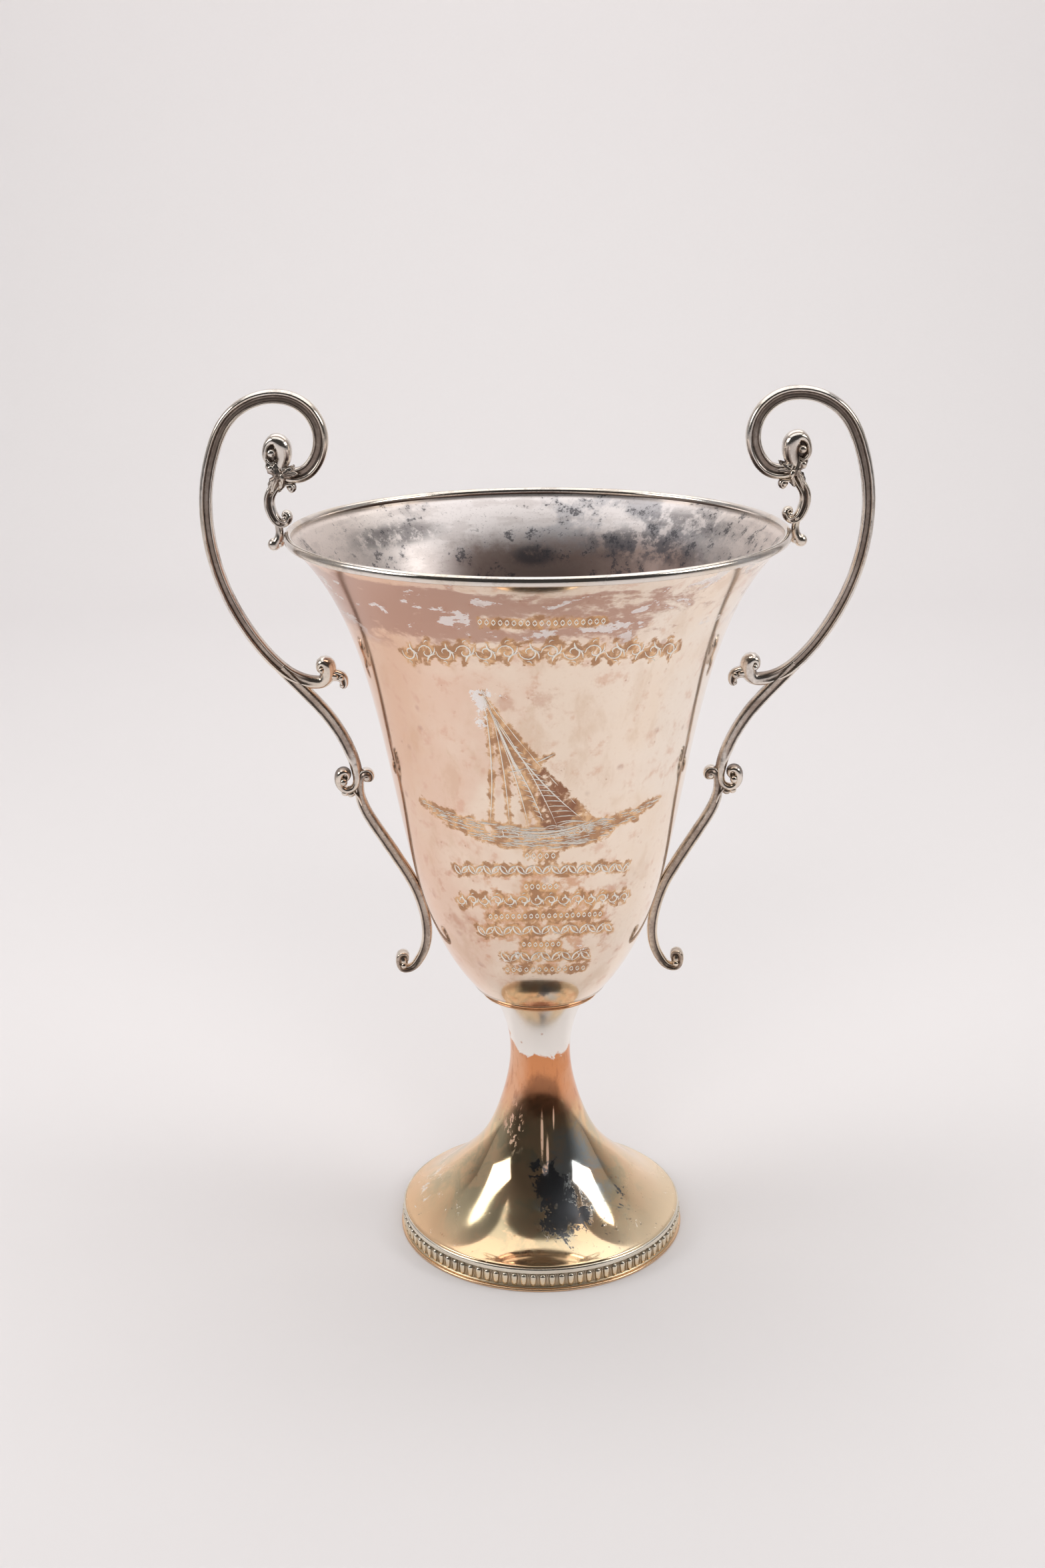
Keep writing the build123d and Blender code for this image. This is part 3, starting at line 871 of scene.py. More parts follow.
@dataclass(frozen=True)
class BandPlate:
    """Fluted foot border: silver on its high faces, golden below, and darkened between the flutes with painted shade.
    """

    silver: Colour = (0.88, 0.82, 0.70)
    gold: Colour = (0.93, 0.72, 0.45)
    dark: Colour = (0.33, 0.23, 0.14)
    copper: Colour = (0.85, 0.50, 0.30)
    dull: Colour = (0.62, 0.55, 0.44)
    soot: Colour = (0.10, 0.07, 0.05)

    def make(self) -> bpy.types.Material:
        """Builds the finish.

        Returns:
            The material.
        """
        s = Shader("band_plate")
        grain = s.noise(1.6, 6, 0.65)
        patch = s.noise(15, 4, 0.55)
        # Painted shade: the strip between the flutes is darkened.
        deep_shade = s.radius().step(58.75, 58.2) * s.z.step(7.6, 6.9) * s.z.step(1.2, 1.6)
        low = (s.z + (grain - 0.5) * 3 + (patch - 0.5) * 5).step(7.6, 3.0)
        colour = s.colour(
            self.silver,
            (patch.step(0.42, 0.66) * 0.45, self.dull),
            (low * 0.85, self.gold),
            (deep_shade * 0.45, self.dark),
            (s.z.step(1.6, 1.1) * 0.6, self.copper),
            (grain.step(0.62, 0.72) * 0.5, self.soot),
        )
        return s.finish(colour, 0.97, 0.15 + grain * 0.12 + deep_shade * 0.2, grain, 0.25, 0.00015)


@dataclass(frozen=True)
class CutMetal:
    """Bright-cut faces of the engraving, with painted shadow in brown along one facet of each stroke."""

    bright: Colour = (0.93, 0.88, 0.80)
    brown: Colour = (0.30, 0.17, 0.09)

    def make(self) -> bpy.types.Material:
        """Builds the finish.

        Returns:
            The material.
        """
        s = Shader("bright_cut")
        grain = s.noise(1.4, 4, 0.6)
        # Painted shadow: the recess value darkens one facet of each stroke, broken up by grain.
        facet_shadow = (s.attribute("recess") * 0.55 + grain * 0.55).step(0.48, 0.74)
        colour = s.colour(self.bright, (facet_shadow * 0.8, self.brown))
        return s.finish(colour, 0.9, 0.22 + grain * 0.14, grain, 0.2, 0.0001)


@dataclass(frozen=True)
class Paper:
    """Matt pale paper sweep, painted darker near the camera and lighter towards the wall as painted shade and light."""

    near: Colour = (0.68, 0.656, 0.662)
    far: Colour = (0.88, 0.85, 0.857)
    fibres: Colour = (0.72, 0.70, 0.70)

    def make(self) -> bpy.types.Material:
        """Builds the finish.

        Returns:
            The material.
        """
        s = Shader("paper")
        fibre = s.noise(3.0, 3)
        # Painted shade and light: the paper runs from a darker colour near the camera to a lighter one at the wall,
        # with faint fibres.
        colour = s.colour(self.near, (s.y.step(150, 1350), self.far), (fibre.step(0.3, 0.8) * 0.05, self.fibres))
        s.plug(s.surface.inputs["Specular IOR Level"], 0.1)
        return s.finish(colour, 0.0, 0.85 + fibre * 0.1, fibre, 0.02, 0.0001)


# ---------------------------------------------------------------- turned pieces


@dataclass
class Bowl:
    """Spun bell of sheet metal, and the lines its neighbours and its engraving are set out on."""

    base: tuple = (25.3, 108.7)
    lip: tuple = (95.0, 295.15)
    stations: tuple = ((43.6, 139.0), (53.2, 174.0), (66.9, 240.0), (81.0, 276.8))
    start_way: tuple = (1.0, 1.05)
    end_way: tuple = (1.0, 0.95)
    sheet: float = 1.0
    steps: int = 288
    rows: int = 150
    inner_rows: int = 56
    dent: float = 0.10
    stain_reach: float = 1.5
    stained_arc: float = 1.2
    stained_top: float = 292.0

    def __post_init__(self) -> None:
        """Works out the wall's line."""
        self.wall = clamped_spline([self.base, *self.stations, self.lip], self.start_way, self.end_way, self.rows)

    def radius_at(self, height: float) -> float:
        """Outer radius at a height."""
        return float(np.interp(height, self.wall[:, 1], self.wall[:, 0]))

    def uneven(self, point: Vector) -> float:
        """How far the sheet stands in or out at a point, in metres."""
        return ripple(point, 38, self.dent) + ripple(point + Vector((0.3, 0.1, 0)), 15, self.dent * 0.22)

    def on_skin(self, s: float, z: float, lift: float) -> Vector:
        """A point on or just off the outside.

        Args:
            s: arc length round from the front.
            z: height.
            lift: distance off the sheet.

        Returns:
            The point, in metres.
        """
        r = self.radius_at(z)
        a = s / r
        slope = self.radius_at(z + 0.5) - self.radius_at(z - 0.5)
        out = Vector((math.sin(a), -math.cos(a), -slope)).normalized()
        spot = Vector((math.sin(a) * r, -math.cos(a) * r, z)) * MM
        return spot + out * (lift * MM + self.uneven(spot))

    def build(self, outside: bpy.types.Material, inside: bpy.types.Material, strokes: np.ndarray) -> bpy.types.Object:
        """Spins the shell and marks how near each point is to an engraved line.

        Args:
            outside: finish of the outside.
            inside: finish of the inside.
            strokes: (arc length, height) points of the engraving.

        Returns:
            The piece.
        """
        ways = directions(self.wall)
        inner = self.wall + np.stack([-ways[:, 1], ways[:, 0]], 1) * self.sheet
        pick = np.linspace(len(inner) - 1, 4, self.inner_rows).astype(int)
        floor = self.base[1] + self.sheet
        sides = [tuple(inner[i]) for i in pick if inner[i][1] > floor + 0.6]
        foot_r = sides[-1][0]
        outline = [(0.0, self.base[1]), (self.base[0] * 0.5, self.base[1])]
        outline += [tuple(p) for p in self.wall]
        outline += sides
        outline += [(foot_r - 1.2, floor + 0.2), (foot_r - 3, floor), (foot_r * 0.5, floor), (0.0, floor)]
        bm = spun(np.array(outline), self.steps)
        halo = bm.verts.layers.float.new("halo")
        tree = kdtree.KDTree(len(strokes))
        for i, (s, z) in enumerate(strokes):
            tree.insert((s, z, 0), i)
        tree.balance()
        bm.normal_update()
        for v in bm.verts:
            x, y, z = v.co / MM
            r = math.hypot(x, y)
            front = math.atan2(x, -y)
            outer = r > self.radius_at(z) - 0.3
            if outer and abs(front) < self.stained_arc and self.base[1] + 1 < z < self.stained_top:
                gap = tree.find((front * r, z, 0))[2]
                v[halo] = math.exp(-((gap / self.stain_reach) ** 2))
            v.co += Vector((v.co.x, v.co.y, 0)).normalized() * self.uneven(v.co)
        for f in bm.faces:
            c = f.calc_center_median() / MM
            r = math.hypot(c.x, c.y)
            f.material_index = 0 if r > self.radius_at(c.z) - self.sheet * 0.55 or c.z < self.base[1] + 0.4 else 1
        piece = object_from(bm, "bowl", [outside, inside])
        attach(piece, "root")
        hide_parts("bowl_shell")
        return piece


@dataclass
class Turning:
    """A turned ring or shell from a closed outline."""

    name: str
    nodes: tuple
    slot: str
    outline: tuple
    steps: int = 256
    dent: float = 0.0

    def build(self, finish: bpy.types.Material) -> bpy.types.Object:
        """Spins it and gives its inward corners their recess value.

        Args:
            finish: its material.

        Returns:
            The piece.
        """
        bm = spun(np.array(self.outline), self.steps)
        dark = bm.verts.layers.float.new("recess")
        bm.normal_update()
        for v in bm.verts:
            # Inward corners get a recess value; the rim's finish shows it as tarnish plus painted shade in those
            # corners.
            turns = [e.calc_face_angle_signed(0.0) for e in v.link_edges if len(e.link_faces) == 2]
            v[dark] = min(1.0, max(0.0, -min(turns) * 1.6)) if turns else 0.0
            if self.dent:
                v.co += v.normal * (ripple(v.co, 30, self.dent) + ripple(v.co, 11, self.dent * 0.25))
        piece = object_from(bm, self.name, [finish])
        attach(piece, "root")
        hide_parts(*self.nodes)
        return piece


@dataclass
class StemFoot:
    """Hollow trumpet with an upright skirt."""

    collar_bottom: float = 106.3
    stations: tuple = (
        (20.5, 106.3), (16.0, 98.0), (12.5, 83.0), (16.4, 57.0), (24.7, 38.6), (40.0, 22.6), (57.1, 10.5),
    )
    first: tuple = (-0.72, -1.0)
    last: tuple = (1.0, -0.42)
    sheet: float = 1.0
    skirt: float = 57.8
    skirt_foot: float = 1.3
    rows: int = 150

    def outline(self) -> tuple:
        """Closed outline: down the outside, round the shoulder, and up the inside.

        Returns:
            (radius, height) points.
        """
        wall = clamped_spline(list(self.stations), self.first, self.last, self.rows)
        ways = directions(wall)
        inner = wall + np.stack([ways[:, 1], -ways[:, 0]], 1) * self.sheet
        shoulder = [(57.42, 10.28), (57.68, 9.95), (self.skirt, 9.6)]
        skirt = [(self.skirt, 5.0), (self.skirt, self.skirt_foot), (self.skirt - self.sheet, self.skirt_foot)]
        inside = [tuple(p) for p in inner[::-3] if p[1] < self.collar_bottom - 0.4]
        close = [(inside[-1][0], self.collar_bottom)]
        return tuple([tuple(p) for p in wall] + shoulder + skirt + [(self.skirt - self.sheet, 8.8)] + inside + close)


@dataclass
class FlutedBand:
    """Rolled border: backing strip, tongue-shaped flutes and the thin ribs between them."""

    radius: float = 58.05
    count: int = 96
    low: float = 2.0
    high: float = 7.3
    tongue: float = 1.42
    proud: float = 1.15
    rib: float = 0.26
    rib_proud: float = 0.62
    dome: float = 0.9
    narrowing: float = 0.10
    flattening: float = 0.22

    def strip(self) -> Turning:
        """The backing strip with its plain bead above the flutes.

        Returns:
            The strip, ready to build.
        """
        outline = (
            (57.8, 1.3), (58.5, 1.3), (58.75, 1.5), (58.75, 1.75), (58.3, 1.95), (58.05, 2.3), (58.0, 7.0),
            (58.15, 7.4), (58.5, 7.7), (58.62, 8.2), (58.66, 8.9), (58.6, 9.4), (58.4, 9.75), (58.1, 9.9),
            (57.8, 9.9),
        )
        return Turning("foot_border_strip", ("foot_fluted_band",), "band_plate", outline, 288)

    def flutes(self, finish: bpy.types.Material) -> bpy.types.Object:
        """Shapes one tongue and one rib, and copies them all round as one mesh.

        Args:
            finish: its material.

        Returns:
            The piece.
        """
        bm = bmesh.new()
        for offset, wide, proud, lower, upper in (
            (0.0, self.tongue, self.proud, 0.0, 0.0),
            (0.5, self.rib, self.rib_proud, 0.2, 0.5),
        ):
            made = bmesh.ops.create_uvsphere(bm, u_segments=8, v_segments=7, radius=1.0)["verts"]
            top = self.high - wide * self.dome - upper
            foot = self.low + lower
            for v in made:
                x, y, z = v.co
                below = min(z, 0.0)
                ring = math.hypot(x, y)
                square = ring**-0.7 if z < -0.05 and ring > 0.02 else 1.0
                taper = square * (1.0 + self.narrowing * below)
                out = proud * square * (1.0 + self.flattening * below)
                height = top + z * wide * self.dome if z > 0.05 else foot + (top - foot) * (1 + below)
                v.co = Vector((self.radius + max(-0.2, x * out), y * wide * taper, height)) * MM
            turn = Matrix.Rotation(2 * math.pi * offset / self.count, 3, "Z")
            bmesh.ops.rotate(bm, verts=made, cent=(0, 0, 0), matrix=turn)
        bmesh.ops.spin(
            bm, geom=bm.verts[:] + bm.edges[:] + bm.faces[:], cent=(0, 0, 0), axis=(0, 0, 1),
            angle=2 * math.pi * (self.count - 1) / self.count, steps=self.count - 1, use_duplicate=True,
        )
        piece = object_from(bm, "foot_border_flutes", [finish])
        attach(piece, "root")
        return piece


# ---------------------------------------------------------------- handles


@dataclass
class Handle:
    """Cast scroll handle, in the six castings it is soldered from."""

    side: str
    turned: bool
    finish: bpy.types.Material
    loop_start: tuple = (96.9, 319.15)
    loop_way: float = 192.5
    loop_lead: float = 3.0
    loop_arcs: tuple = (
        (8.5, 60.0, 6.0, 6.2),
        (16.0, 125.5, 5.6, 6.2),
        (23.5, 71.5, 5.3, 6.0),
        (69.0, 26.5, 4.9, 5.9),
        (86.5, 44.5, 4.9, 5.9),
        (22.0, 37.5, 5.2, 6.2),
    )
    loop_curl: tuple = (
        (85.2, 237.3, 5.2, 6.6), (82.9, 239.2, 5.9, 7.6), (82.2, 242.3, 6.6, 8.6), (82.9, 244.9, 6.0, 8.8),
        (84.6, 245.3, 4.4, 8.0), (85.6, 243.7, 3.0, 6.8), (85.1, 241.9, 2.2, 5.6), (84.0, 241.4, 1.5, 4.6),
    )
    tip_leaf: tuple = (
        (83.6, 239.3, 4.0, 5.0), (81.2, 240.0, 4.8, 4.8), (78.8, 240.0, 4.6, 4.6), (76.8, 238.9, 4.2, 4.4),
        (76.1, 237.0, 3.4, 4.0), (76.4, 235.6, 2.4, 3.4), (77.1, 235.1, 1.5, 2.4),
    )
    upper: tuple = (
        (100.6, 243.4, 5.0, 5.4), (92.4, 234.6, 5.0, 5.4), (83.5, 224.5, 5.0, 5.4), (75.4, 210.6, 4.8, 5.4),
        (72.5, 201.5, 4.4, 5.2), (72.2, 197.2, 3.8, 5.2), (73.6, 193.9, 3.2, 5.2), (76.4, 192.9, 3.0, 5.4),
        (78.9, 194.6, 3.4, 6.0), (79.4, 197.9, 4.0, 7.0), (78.2, 200.4, 3.8, 7.0), (76.3, 200.3, 2.8, 6.0),
        (75.8, 198.2, 1.8, 5.0), (76.6, 196.9, 1.2, 4.2),
    )
    lower: tuple = (
        (68.4, 196.9, 1.4, 4.6), (67.1, 197.4, 2.2, 5.4), (67.0, 199.2, 3.0, 6.2), (68.6, 200.2, 3.4, 6.4),
        (70.6, 198.6, 3.4, 6.0), (71.4, 195.2, 3.4, 5.4), (71.3, 190.6, 3.9, 5.2), (69.6, 185.0, 4.4, 5.0),
        (64.5, 176.0, 4.6, 5.0), (56.0, 162.2, 4.6, 5.0), (50.9, 153.0, 4.5, 5.0), (48.4, 146.5, 4.4, 4.9),
        (46.4, 138.0, 4.3, 4.9), (45.95, 131.0, 4.2, 4.9), (47.2, 124.2, 4.0, 4.9), (49.9, 119.0, 3.6, 4.9),
        (53.2, 116.0, 3.0, 5.2), (56.2, 116.0, 2.8, 5.8), (57.4, 118.8, 3.2, 6.6), (56.5, 121.9, 3.0, 6.4),
        (54.8, 121.8, 2.2, 5.2), (54.3, 119.6, 1.4, 4.2),
    )
    crest: tuple = (
        (98.2, 320.8, 4.2, 5.0), (96.6, 323.4, 5.8, 6.6), (95.9, 327.0, 6.6, 8.0), (96.9, 330.2, 6.9, 8.8),
        (99.2, 331.6, 5.2, 8.0), (101.6, 330.3, 3.2, 6.4), (102.8, 327.2, 2.5, 5.8), (102.1, 324.0, 2.3, 5.4),
        (100.2, 322.9, 2.0, 4.8), (99.2, 324.0, 1.4, 4.0),
    )
    limb: tuple = (
        (98.4, 322.6, 5.0, 6.0), (97.7, 319.4, 4.8, 5.8), (98.6, 316.2, 4.4, 5.4), (100.5, 313.0, 4.3, 5.2),
        (101.9, 310.2, 4.3, 5.2), (102.1, 307.4, 4.3, 5.2), (101.5, 304.6, 4.2, 5.2), (100.3, 302.0, 3.9, 5.2),
        (98.5, 300.2, 3.4, 5.3), (96.4, 300.2, 3.0, 5.6), (95.0, 301.8, 2.9, 5.9), (95.2, 303.8, 2.4, 5.4),
        (96.6, 304.1, 1.7, 4.6), (97.2, 302.9, 1.2, 3.8),
    )
    stalk: tuple = (
        (99.3, 301.0, 3.2, 4.2), (98.9, 298.6, 3.0, 4.0), (98.8, 296.2, 3.1, 4.0), (99.3, 293.9, 3.6, 4.4),
        (100.5, 291.9, 3.9, 4.8),
    )

    def piece(self, casting: Casting, what: str, node: str) -> None:
        """Puts one casting into the scene in place of its CAD node.

        Args:
            casting: the casting, as on the +X handle.
            what: its name without the side.
            node: the CAD node's name without the side.
        """
        made = casting.bake(f"{self.side}_{what}", self.turned, self.finish)
        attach(made, "root")
        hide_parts(f"{self.side}_{node}")
        LOG.info("%s: %d faces", made.name, len(made.data.polygons))

    def smooth(self, stations: tuple, count: int) -> np.ndarray:
        """Dense stations through the given ones."""
        return clamped_spline(list(stations), (), (), count)

    def main_loop(self) -> None:
        """The big loop and the volute at its tip."""
        cast = Casting()
        run = arc_stations(self.loop_start, self.loop_way, self.loop_lead, list(self.loop_arcs))
        curl = self.smooth((run[-1], *self.loop_curl), 44)
        whole = np.array(run + [tuple(c) for c in curl[1:]])
        dense = clamped_spline([tuple(w) for w in whole[::2]], (), (), 260)
        cast.sweep(dense, Section.MOULDED, 1.0, (0.86, Section.ROUND))
        cast.both_sides((84.5, 242.6), 3.0, (1.3, 1.4, 1.3))
        self.piece(cast, "scroll_loop", "main_scroll")

    def bracket(self) -> None:
        """Crest volute, limb with its inner curl, and the stalk with its drop."""
        cast = Casting()
        cast.sweep(self.smooth(self.crest, 80), Section.ROUND, 1.0)
        cast.ball((99.8, 0, 327.0), (3.0, 1.9, 3.8), 0.9)
        cast.both_sides((100.2, 327.0), 2.3, (1.7, 1.6, 1.7))
        cast.sweep(self.smooth(self.limb, 110), Section.CHANNEL, 1.0, (0.74, Section.ROUND))
        cast.both_sides((96.4, 302.2), 1.9, (1.0, 1.2, 1.0))
        cast.sweep(self.smooth(self.stalk, 30), Section.ROUND, 1.0)
        cast.ball((101.0, 0, 291.9), (2.5, 2.5, 2.5))
        cast.ball((98.7, 0, 292.2), (1.6, 1.9, 1.5))
        self.piece(cast, "bracket", "rim_bracket")

    def leaf(self) -> None:
        """Acanthus lobes round the neck, with almond beads and a hanging curl."""
        cast = Casting()
        cast.ball((97.0, 0, 318.9), (2.9, 2.7, 3.6), 0.8, -12)
        for at, way, length, width, lift, bend in (
            ((97.6, 317.0), 68, 7.6, 3.0, 2.3, 24), ((96.4, 317.4), 118, 6.2, 2.8, 2.5, 30),
            ((95.8, 318.4), 160, 6.0, 2.6, 2.6, 26), ((98.2, 318.8), -62, 8.4, 2.8, 2.3, -14),
            ((96.8, 318.0), -96, 5.4, 2.2, 2.4, 34), ((99.3, 319.4), 38, 5.6, 2.6, 2.0, 40),
            ((98.9, 317.6), -40, 5.4, 2.2, 2.2, -38),
        ):
            cast.blade(at, way, length, width, lift, bend)
        cast.both_sides((96.5, 317.6), 3.0, (0.95, 0.9, 1.9), 0.1, -14)
        cast.both_sides((100.8, 321.2), 2.1, (1.3, 1.2, 1.5), 0.1, 20)
        cast.sweep(
            self.smooth(
                (
                    (96.6, 315.6, 1.6, 3.2), (95.0, 314.9, 1.9, 3.6), (93.3, 314.9, 2.0, 3.8), (92.6, 313.4, 2.0, 3.8),
                    (93.7, 312.5, 1.6, 3.2), (94.6, 313.3, 1.1, 2.6),
                ),
                34,
            ),
            Section.ROUND,
        )
        cast.ball((93.8, 0, 313.8), (1.6, 2.2, 1.7), 0.1)
        self.piece(cast, "acanthus", "acanthus_leaf")

    def tip(self) -> None:
        """Small hooked leaf behind the loop's tip."""
        cast = Casting()
        cast.sweep(self.smooth(self.tip_leaf, 50), Section.CHANNEL, -1.0)
        cast.both_sides((80.0, 240.0), 2.1, (2.0, 1.0, 1.2), 0.1, 10)
        cast.both_sides((77.0, 239.2), 1.9, (1.2, 1.0, 1.3), 0.1, 40)
        cast.ball((76.9, 0, 235.9), (1.2, 1.7, 1.3), 0.1)
        self.piece(cast, "tip_leaf", "scroll_tip_leaf")

    def struts(self) -> None:
        """Upper and lower struts with the curls where they meet and end."""
        cast = Casting()
        cast.sweep(self.smooth(self.upper, 170), Section.RIBBED, 1.0, (0.56, Section.ROUND))
        cast.both_sides((77.5, 196.7), 2.6, (1.5, 1.4, 1.5))
        cast.ball((77.2, 0, 191.7), (1.7, 2.1, 1.5))
        cast.ball((74.6, 0, 191.2), (1.9, 2.0, 1.3), 0.3, -30)
        self.piece(cast, "upper_strut_cast", "upper_strut")
        cast = Casting()
        cast.sweep(self.smooth(self.lower, 230), Section.RIBBED, 1.0)
        cast.ball((68.2, 0, 198.3), (2.4, 2.9, 2.3), 0.1)
        cast.ball((55.8, 0, 119.2), (1.9, 2.9, 3.0), 0.2)
        cast.both_sides((55.6, 117.7), 2.4, (1.4, 1.3, 1.4))
        cast.sweep(
            self.smooth(((73.6, 192.6, 1.5, 5.0), (72.0, 190.4, 1.7, 5.2), (70.6, 186.6, 1.4, 4.6)), 14), Section.ROUND
        )
        self.piece(cast, "lower_strut_cast", "lower_strut")

    def build(self) -> None:
        """Adds all castings of this handle."""
        self.main_loop()
        self.bracket()
        self.leaf()
        self.tip()
        self.struts()


# ---------------------------------------------------------------- engraving


class Motif(Enum):
    """Ornament of one engraved row."""

    LOZENGES = "lozenges"
    LEAVES = "leaves"
    SCROLLS = "scrolls"


@dataclass
class Row:
    """One row of engraved ornament."""

    motif: Motif
    height: float
    left: float
    right: float
    size: float
    sag: float = 0.0


@dataclass
class Engraving:
    """Bright-cut boat on a choppy sea, between rows of ornament, on the bowl's front."""

    bowl: Bowl
    rows: tuple = (
        Row(Motif.LOZENGES, 279.0, -22.3, 23.5, 2.6),
        Row(Motif.SCROLLS, 267.2, -54.5, 54.5, 7.6, 4.6),
        Row(Motif.LOZENGES, 183.9, -6.2, 6.0, 2.6),
        Row(Motif.LEAVES, 178.0, -35.0, 37.0, 3.6, 4.0),
        Row(Motif.LOZENGES, 170.6, -6.6, 7.0, 2.6),
        Row(Motif.SCROLLS, 164.6, -35.0, 37.6, 5.0, 4.4),
        Row(Motif.LOZENGES, 157.6, -20.8, 25.0, 2.4, 2.0),
        Row(Motif.LEAVES, 151.2, -25.4, 30.0, 4.0, 3.2),
        Row(Motif.LOZENGES, 144.2, -7.6, 8.0, 2.4),
        Row(Motif.LEAVES, 138.4, -15.6, 20.2, 4.4, 1.6),
        Row(Motif.LOZENGES, 131.8, -14.4, 18.4, 2.6, 1.4),
    )

    stroke_scale: float = 1.25
    stain_step: float = 0.7

    def __post_init__(self) -> None:
        """Starts with no strokes."""
        self.strokes: list = []

    def cut(self, points: list, width: float) -> None:
        """Adds one stroke through (arc length, height) points, swelling to width at its middle."""
        self.strokes.append((points, width * self.stroke_scale))

    def curve(self, a: tuple, b: tuple, bow: float, width: float, count: int = 6) -> None:
        """Adds a bowed stroke.

        Args:
            a: its start, as (arc length, height).
            b: its end.
            bow: how far its middle stands off, as part of its length.
            width: its greatest width.
            count: number of its parts.
        """
        along = np.array(b, float) - np.array(a, float)
        off = np.array([-along[1], along[0]])
        pts = []
        for k in range(count + 1):
            t = k / count
            pts.append(tuple(np.array(a, float) + along * t + off * bow * 4 * t * (1 - t)))
        self.cut(pts, width)

    def ornament(self, row: Row) -> None:
        """Fills one row with its motif.

        Args:
            row: the row.
        """
        middle = (row.left + row.right) / 2
        half = (row.right - row.left) / 2
        pitch = {Motif.LOZENGES: 0.95, Motif.LEAVES: 0.9, Motif.SCROLLS: 1.05}[row.motif] * row.size
        count = max(3, round(2 * half / pitch))
        for k in range(count):
            s = row.left + (k + 0.5) * 2 * half / count
            z = row.height - row.sag * ((s - middle) / max(half, 1.0)) ** 2
            h = row.size / 2
            flip = 1 if k % 2 else -1
            if row.motif is Motif.LOZENGES:
                corners = [(s - h * 0.62, z), (s, z + h), (s + h * 0.62, z), (s, z - h)]
                for a, b in zip(corners, corners[1:] + corners[:1]):
                    self.cut([a, b], 0.42)
            elif row.motif is Motif.LEAVES:
                for bow, width in ((0.22, 0.7), (-0.16, 0.4)):
                    self.curve((s - h * 0.9, z - h * flip), (s + h * 0.8, z + h * flip), bow * flip, width)
                self.curve((s - h * 0.1, z + h * 0.9), (s + h * 0.5, z - h * 0.8), 0.1, 0.34, 3)
            else:
                turns = [(s - h, z)]
                for j in range(15):
                    a = math.pi - j * 0.5
                    rho = h * (0.92 - j * 0.052)
                    turns.append((s + rho * math.cos(a), z + flip * rho * math.sin(a) * 0.95))
                self.cut(turns, 0.55)
                self.curve((s + h * 0.1, z - flip * h), (s + h * 1.05, z - flip * h * 0.05), 0.22 * flip, 0.75)
                self.curve((s + h * 0.25, z - flip * h * 0.4), (s + h * 0.95, z + flip * h * 0.7), -0.2 * flip, 0.5)
                self.curve((s - h * 0.2, z + h * flip), (s + h * 0.3, z + 1.25 * h * flip), 0.3, 0.4, 3)

    def boat(self) -> None:
        """A small sloop heeling under sail."""
        top, foot, bow, stern = (-21.6, 251.0), (1.5, 194.5), (19.6, 197.6), (-14.5, 195.2)
        for shift in (0.0, 0.45):
            self.cut([(top[0] + shift, top[1]), (-10.0 + shift, 222.7), (foot[0] + shift, foot[1])], 0.5)
        head, tack = (-18.2, 243.2), (17.4, 197.2)
        self.curve(top, bow, -0.015, 0.34)
        self.curve(head, tack, -0.045, 0.5, 10)
        self.curve(head, (6.2, 196.4), 0.03, 0.36, 10)
        self.curve((6.2, 196.4), tack, 0.1, 0.4)
        for k in range(15):
            t = 0.30 + 0.68 * k / 14
            a = (head[0] + (6.2 - head[0]) * t, head[1] + (196.4 - head[1]) * t)
            b = (head[0] + (tack[0] - head[0]) * t, head[1] + (tack[1] - head[1]) * t - 1.2 * math.sin(math.pi * t))
            end = (a[0] + (b[0] - a[0]) * 0.9, a[1] + (b[1] - a[1]) * 0.9)
            self.curve((a[0] + 0.3, a[1] + 0.4), end, 0.06, 0.42, 3)
        clew = (-19.0, 196.8)
        self.curve((-20.8, 249.0), clew, 0.035, 0.4, 12)
        self.curve((-17.0, 240.0), (-11.5, 197.2), 0.02, 0.34, 10)
        self.curve((-14.6, 233.0), (-4.4, 197.0), 0.02, 0.36, 10)
        self.curve((-12.5, 228.0), (1.0, 198.6), 0.03, 0.42, 10)
        self.cut([(-12.0, 218.4), (-5.5, 220.2)], 0.5)
        self.cut([(-2.0, 222.5), (5.2, 226.2)], 0.5)
        for k in range(11):
            t = k / 10
            self.curve((-11.0 + 9.5 * t, 222.0 - 21 * t), (-7.6 + 9.2 * t, 221.0 - 22 * t), 0.1, 0.36, 2)
        for drop, width in ((0.0, 0.7), (1.5, 0.5), (2.6, 0.4)):
            self.curve((stern[0] + drop, stern[1] - drop), (bow[0] - drop * 1.1, bow[1] - drop * 0.9), -0.07, width, 12)
        self.cut([stern, (stern[0] + 0.8, stern[1] - 3.4), (-8.0, 189.9)], 0.5)
        self.cut([bow, (15.5, 193.2), (8.0, 190.4)], 0.5)
        for k in range(16):
            s = -12.6 + 29 * k / 15
            z = 195.4 + 0.5 * math.sin(k * 1.9) - 2.6 * (1 - ((s - 2) / 16) ** 2)
            self.curve((s - 0.7, z), (s + 0.9, z - 1.7), 0.16, 0.42, 2)

    def sea(self) -> None:
        """Broken wave lines, crowded near the hull and thin to the sides."""
        random.seed(5)
        for k in range(330):
            s = random.uniform(-50.0, 51.0) if k % 2 else max(-44.0, min(46.0, random.gauss(-2.0, 17.0)))
            shore = 196.0 + 4.9 * (abs(s) / 52) ** 1.5
            thick = 9.4 * (1 - (abs(s) / 53) ** 2.1)
            z = shore - random.random() * max(0.8, thick)
            length = random.uniform(1.8, 7.0) * (0.6 + 0.4 * (1 - abs(s) / 52))
            tilt = 0.10 * s / 52
            self.curve(
                (s - length / 2, z - length * tilt / 2), (s + length / 2, z + length * tilt / 2),
                random.uniform(-0.1, 0.16), random.uniform(0.18, 0.42), 4,
            )

